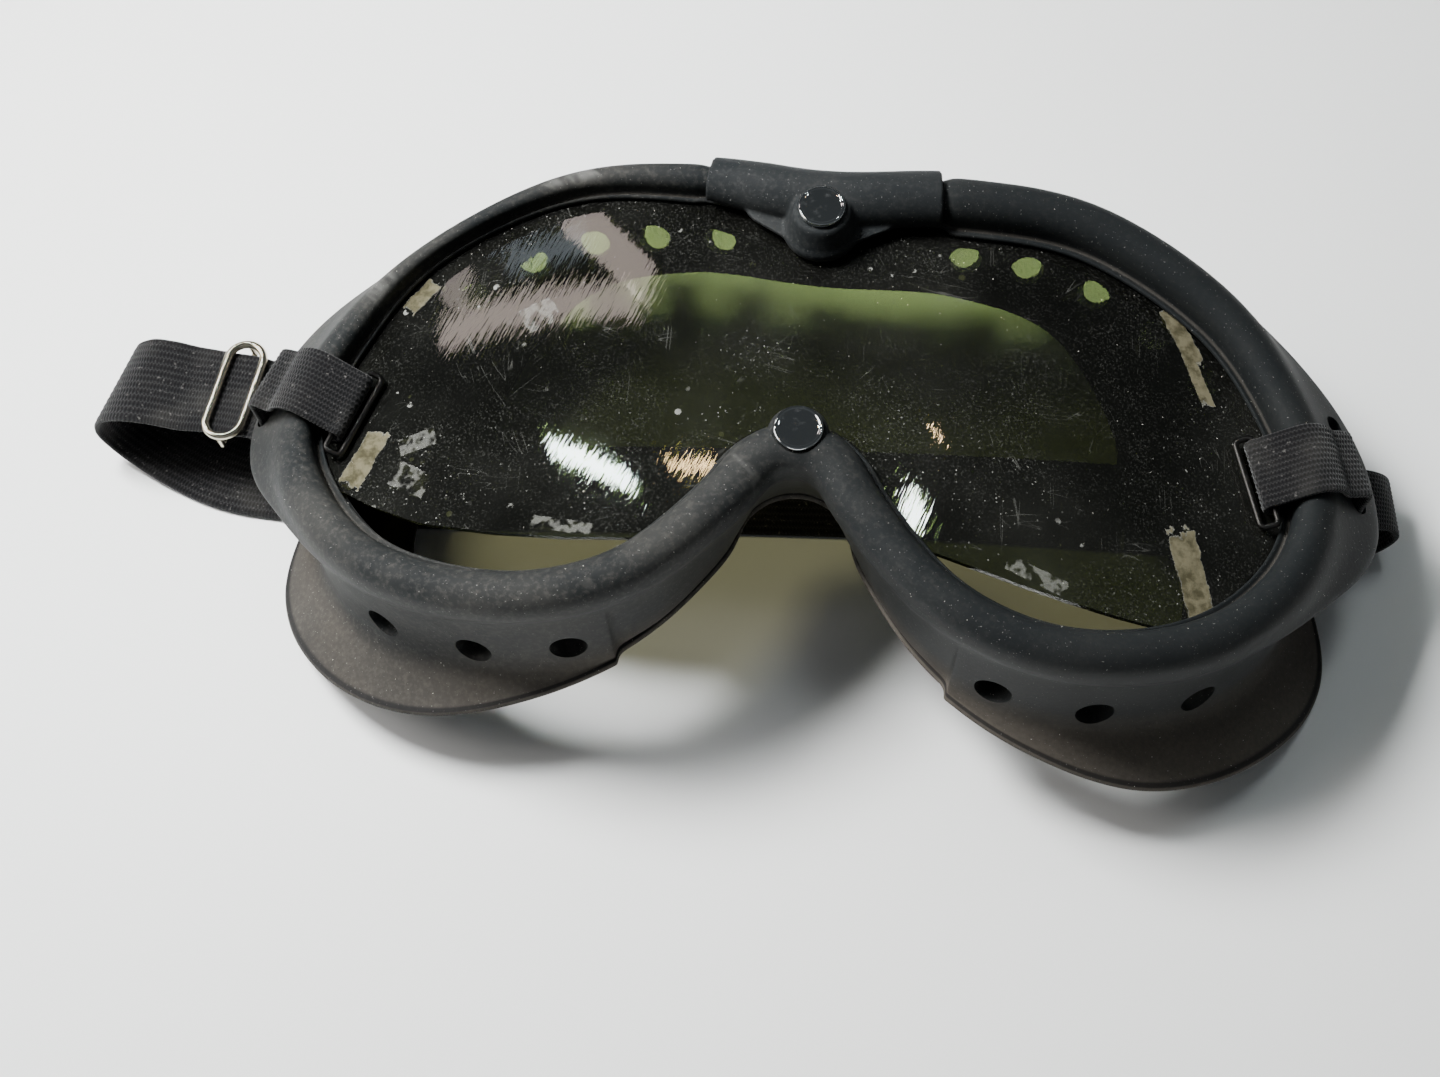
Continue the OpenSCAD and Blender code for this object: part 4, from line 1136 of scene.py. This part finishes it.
# %% [markdown]
# A lamp near the goggles' left end lights the table unevenly, as in the photograph, and a window and two
# weak lamps fill it in. The lens mirrors the part of the room over the brow, which is dark, so mirrors
# don't show the lamps there. Small lamps that it does show make its glints and the pale wall. Where each
# must hang is found by bouncing the camera's ray off the lens's cylinder at the pixel that it should show
# at.

# %% Room
DARK_WAY = (0.0, 0.53, 0.848)
world = bpy.data.worlds.new("room")
scene.world = world
world.use_nodes = True
room = world.node_tree
room_way = room.nodes.new("ShaderNodeTexCoord").outputs["Generated"]
facing = room.nodes.new("ShaderNodeVectorMath")
facing.operation = "DOT_PRODUCT"
facing.inputs[1].default_value = DARK_WAY
shade_of = room.nodes.new("ShaderNodeMapRange")
shade_of.interpolation_type = "SMOOTHSTEP"
for socket_name, value in (("From Min", 0.45), ("From Max", 0.9), ("To Min", 0.11), ("To Max", 0.06)):
    shade_of.inputs[socket_name].default_value = value
room.links.new(room_way, facing.inputs[0])
room.links.new(facing.outputs["Value"], shade_of.inputs["Value"])
room.links.new(shade_of.outputs["Result"], room.nodes["Background"].inputs["Strength"])
room.nodes["Background"].inputs["Color"].default_value = (0.88, 0.96, 1, 1)
print("room ready")

# %% Lamps
PICTURE_W, PICTURE_H, LAMP_FAR, AIM_STEPS = 1440, 1077, 1.0, 40
WALL, PANE = (1, 0.83, 0.78), (0.75, 0.86, 1)


def lamp(name, place_m, toward, size, power, colour, size_y=None, mirrors=True):
    data = bpy.data.lights.new(name, "AREA")
    data.energy, data.color, data.shape, data.size = power, colour, "RECTANGLE", size
    data.size_y = size_y or size
    made = bpy.data.objects.new(name, data)
    made.visible_glossy = made.visible_transmission = mirrors
    scene.collection.objects.link(made)
    aim = (Vector(toward) - Vector(place_m)).to_track_quat("-Z", "Y").to_matrix().to_4x4()
    made.matrix_world = Matrix.Translation(place_m) @ aim
    return made


def mirrored(px, py):
    """The place in the room that the lens mirrors at a pixel of the picture, and the place on the lens."""
    focal = PICTURE_W * LENS_MM / SENSOR_MM
    ray = (px - PICTURE_W / 2) / focal * cam_right - (py - PICTURE_H / 2) / focal * cam_up - cam_back
    ray.normalize()
    where = cam_place.copy()
    for _ in range(AIM_STEPS):
        gap = where.z - surface_h(where.x / MM, -LENS_FRONT) * MM
        where += ray * (gap / -ray.z)
    normal = Vector((where.x, 0, where.z - (FRONT_H - LENS_RADIUS) * MM)).normalized()
    bounce = ray - 2 * ray.dot(normal) * normal
    return where + bounce * LAMP_FAR, where


def glint(name, start, end, thick, shine, colour):
    """A lamp that shows in the lens as a bar between two pixels, thick pixels across."""
    middle = [(a + b) / 2 for a, b in zip(start, end)]
    length = math.dist(start, end)
    across = [(start[1] - end[1]) / length, (end[0] - start[0]) / length]
    where, toward = mirrored(*middle)
    away = (where - toward).normalized()
    bar = mirrored(*end)[0] - mirrored(*start)[0]
    bar_way = (bar - bar.dot(away) * away).normalized()
    rim_way = away.cross(bar_way)
    edge = mirrored(*[m + w * thick / 2 for m, w in zip(middle, across)])[0]
    size, size_y = bar.length, 2 * abs((edge - where).dot(rim_way))
    made = lamp(name, where, toward, size, shine * math.pi * size * size_y, colour, size_y=size_y)
    made.matrix_world = Matrix.Translation(where) @ Matrix((bar_way, rim_way, away)).transposed().to_4x4()
    print(name, "is", round(size, 3), "by", round(size_y, 3), "m")


lamp("window", (-1.0, 0.1, 0.8), (0, 0, 0), 0.7, 9.5, (1, 0.97, 0.94))
lamp("ceiling_a", (-0.22, 0.09, 0.38), (0, 0.02, 0), 0.13, 6.2, (0.98, 1, 0.995), mirrors=False)
lamp("ceiling_b", (0.1, 0.35, 1.3), (0, 0, 0), 0.3, 1.8, (0.9, 0.97, 1), mirrors=False)
lamp("front", (-0.3, -1.3, 1.3), (0, 0, 0), 1.4, 0.35, (0.96, 0.98, 1))
# Each glint's two ends and thickness in pixels, its radiance and its colour
for row in (
    ("tube", (550, 446), (632, 481), 17, 130, (0.86, 1, 1)),
    ("spot", (906, 524), (922, 500), 24, 110, (0.9, 1, 1)),
    ("bulbs", (668, 464), (724, 468), 9, 60, (1, 0.68, 0.34)),
    ("bulb", (934, 434), (940, 434), 6, 110, (1, 0.68, 0.36)),
    ("wall_low", (440, 324), (640, 288), 34, 6.5, WALL),
    ("wall_right", (566, 206), (652, 284), 38, 6, WALL),
    ("wall_left", (462, 262), (452, 306), 26, 4, (1, 0.85, 0.8)),
    ("pane_a", (482, 246), (536, 216), 13, 2.6, PANE),
    ("pane_b", (508, 262), (588, 238), 24, 2.2, PANE),
):
    glint(*row)
print("lights ready")

# %% [markdown]
# Last, the dressed model's box is printed.

# %% Measure and finish
low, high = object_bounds()
print("visual box, m:", [round(x, 4) for x in low], [round(x, 4) for x in high])
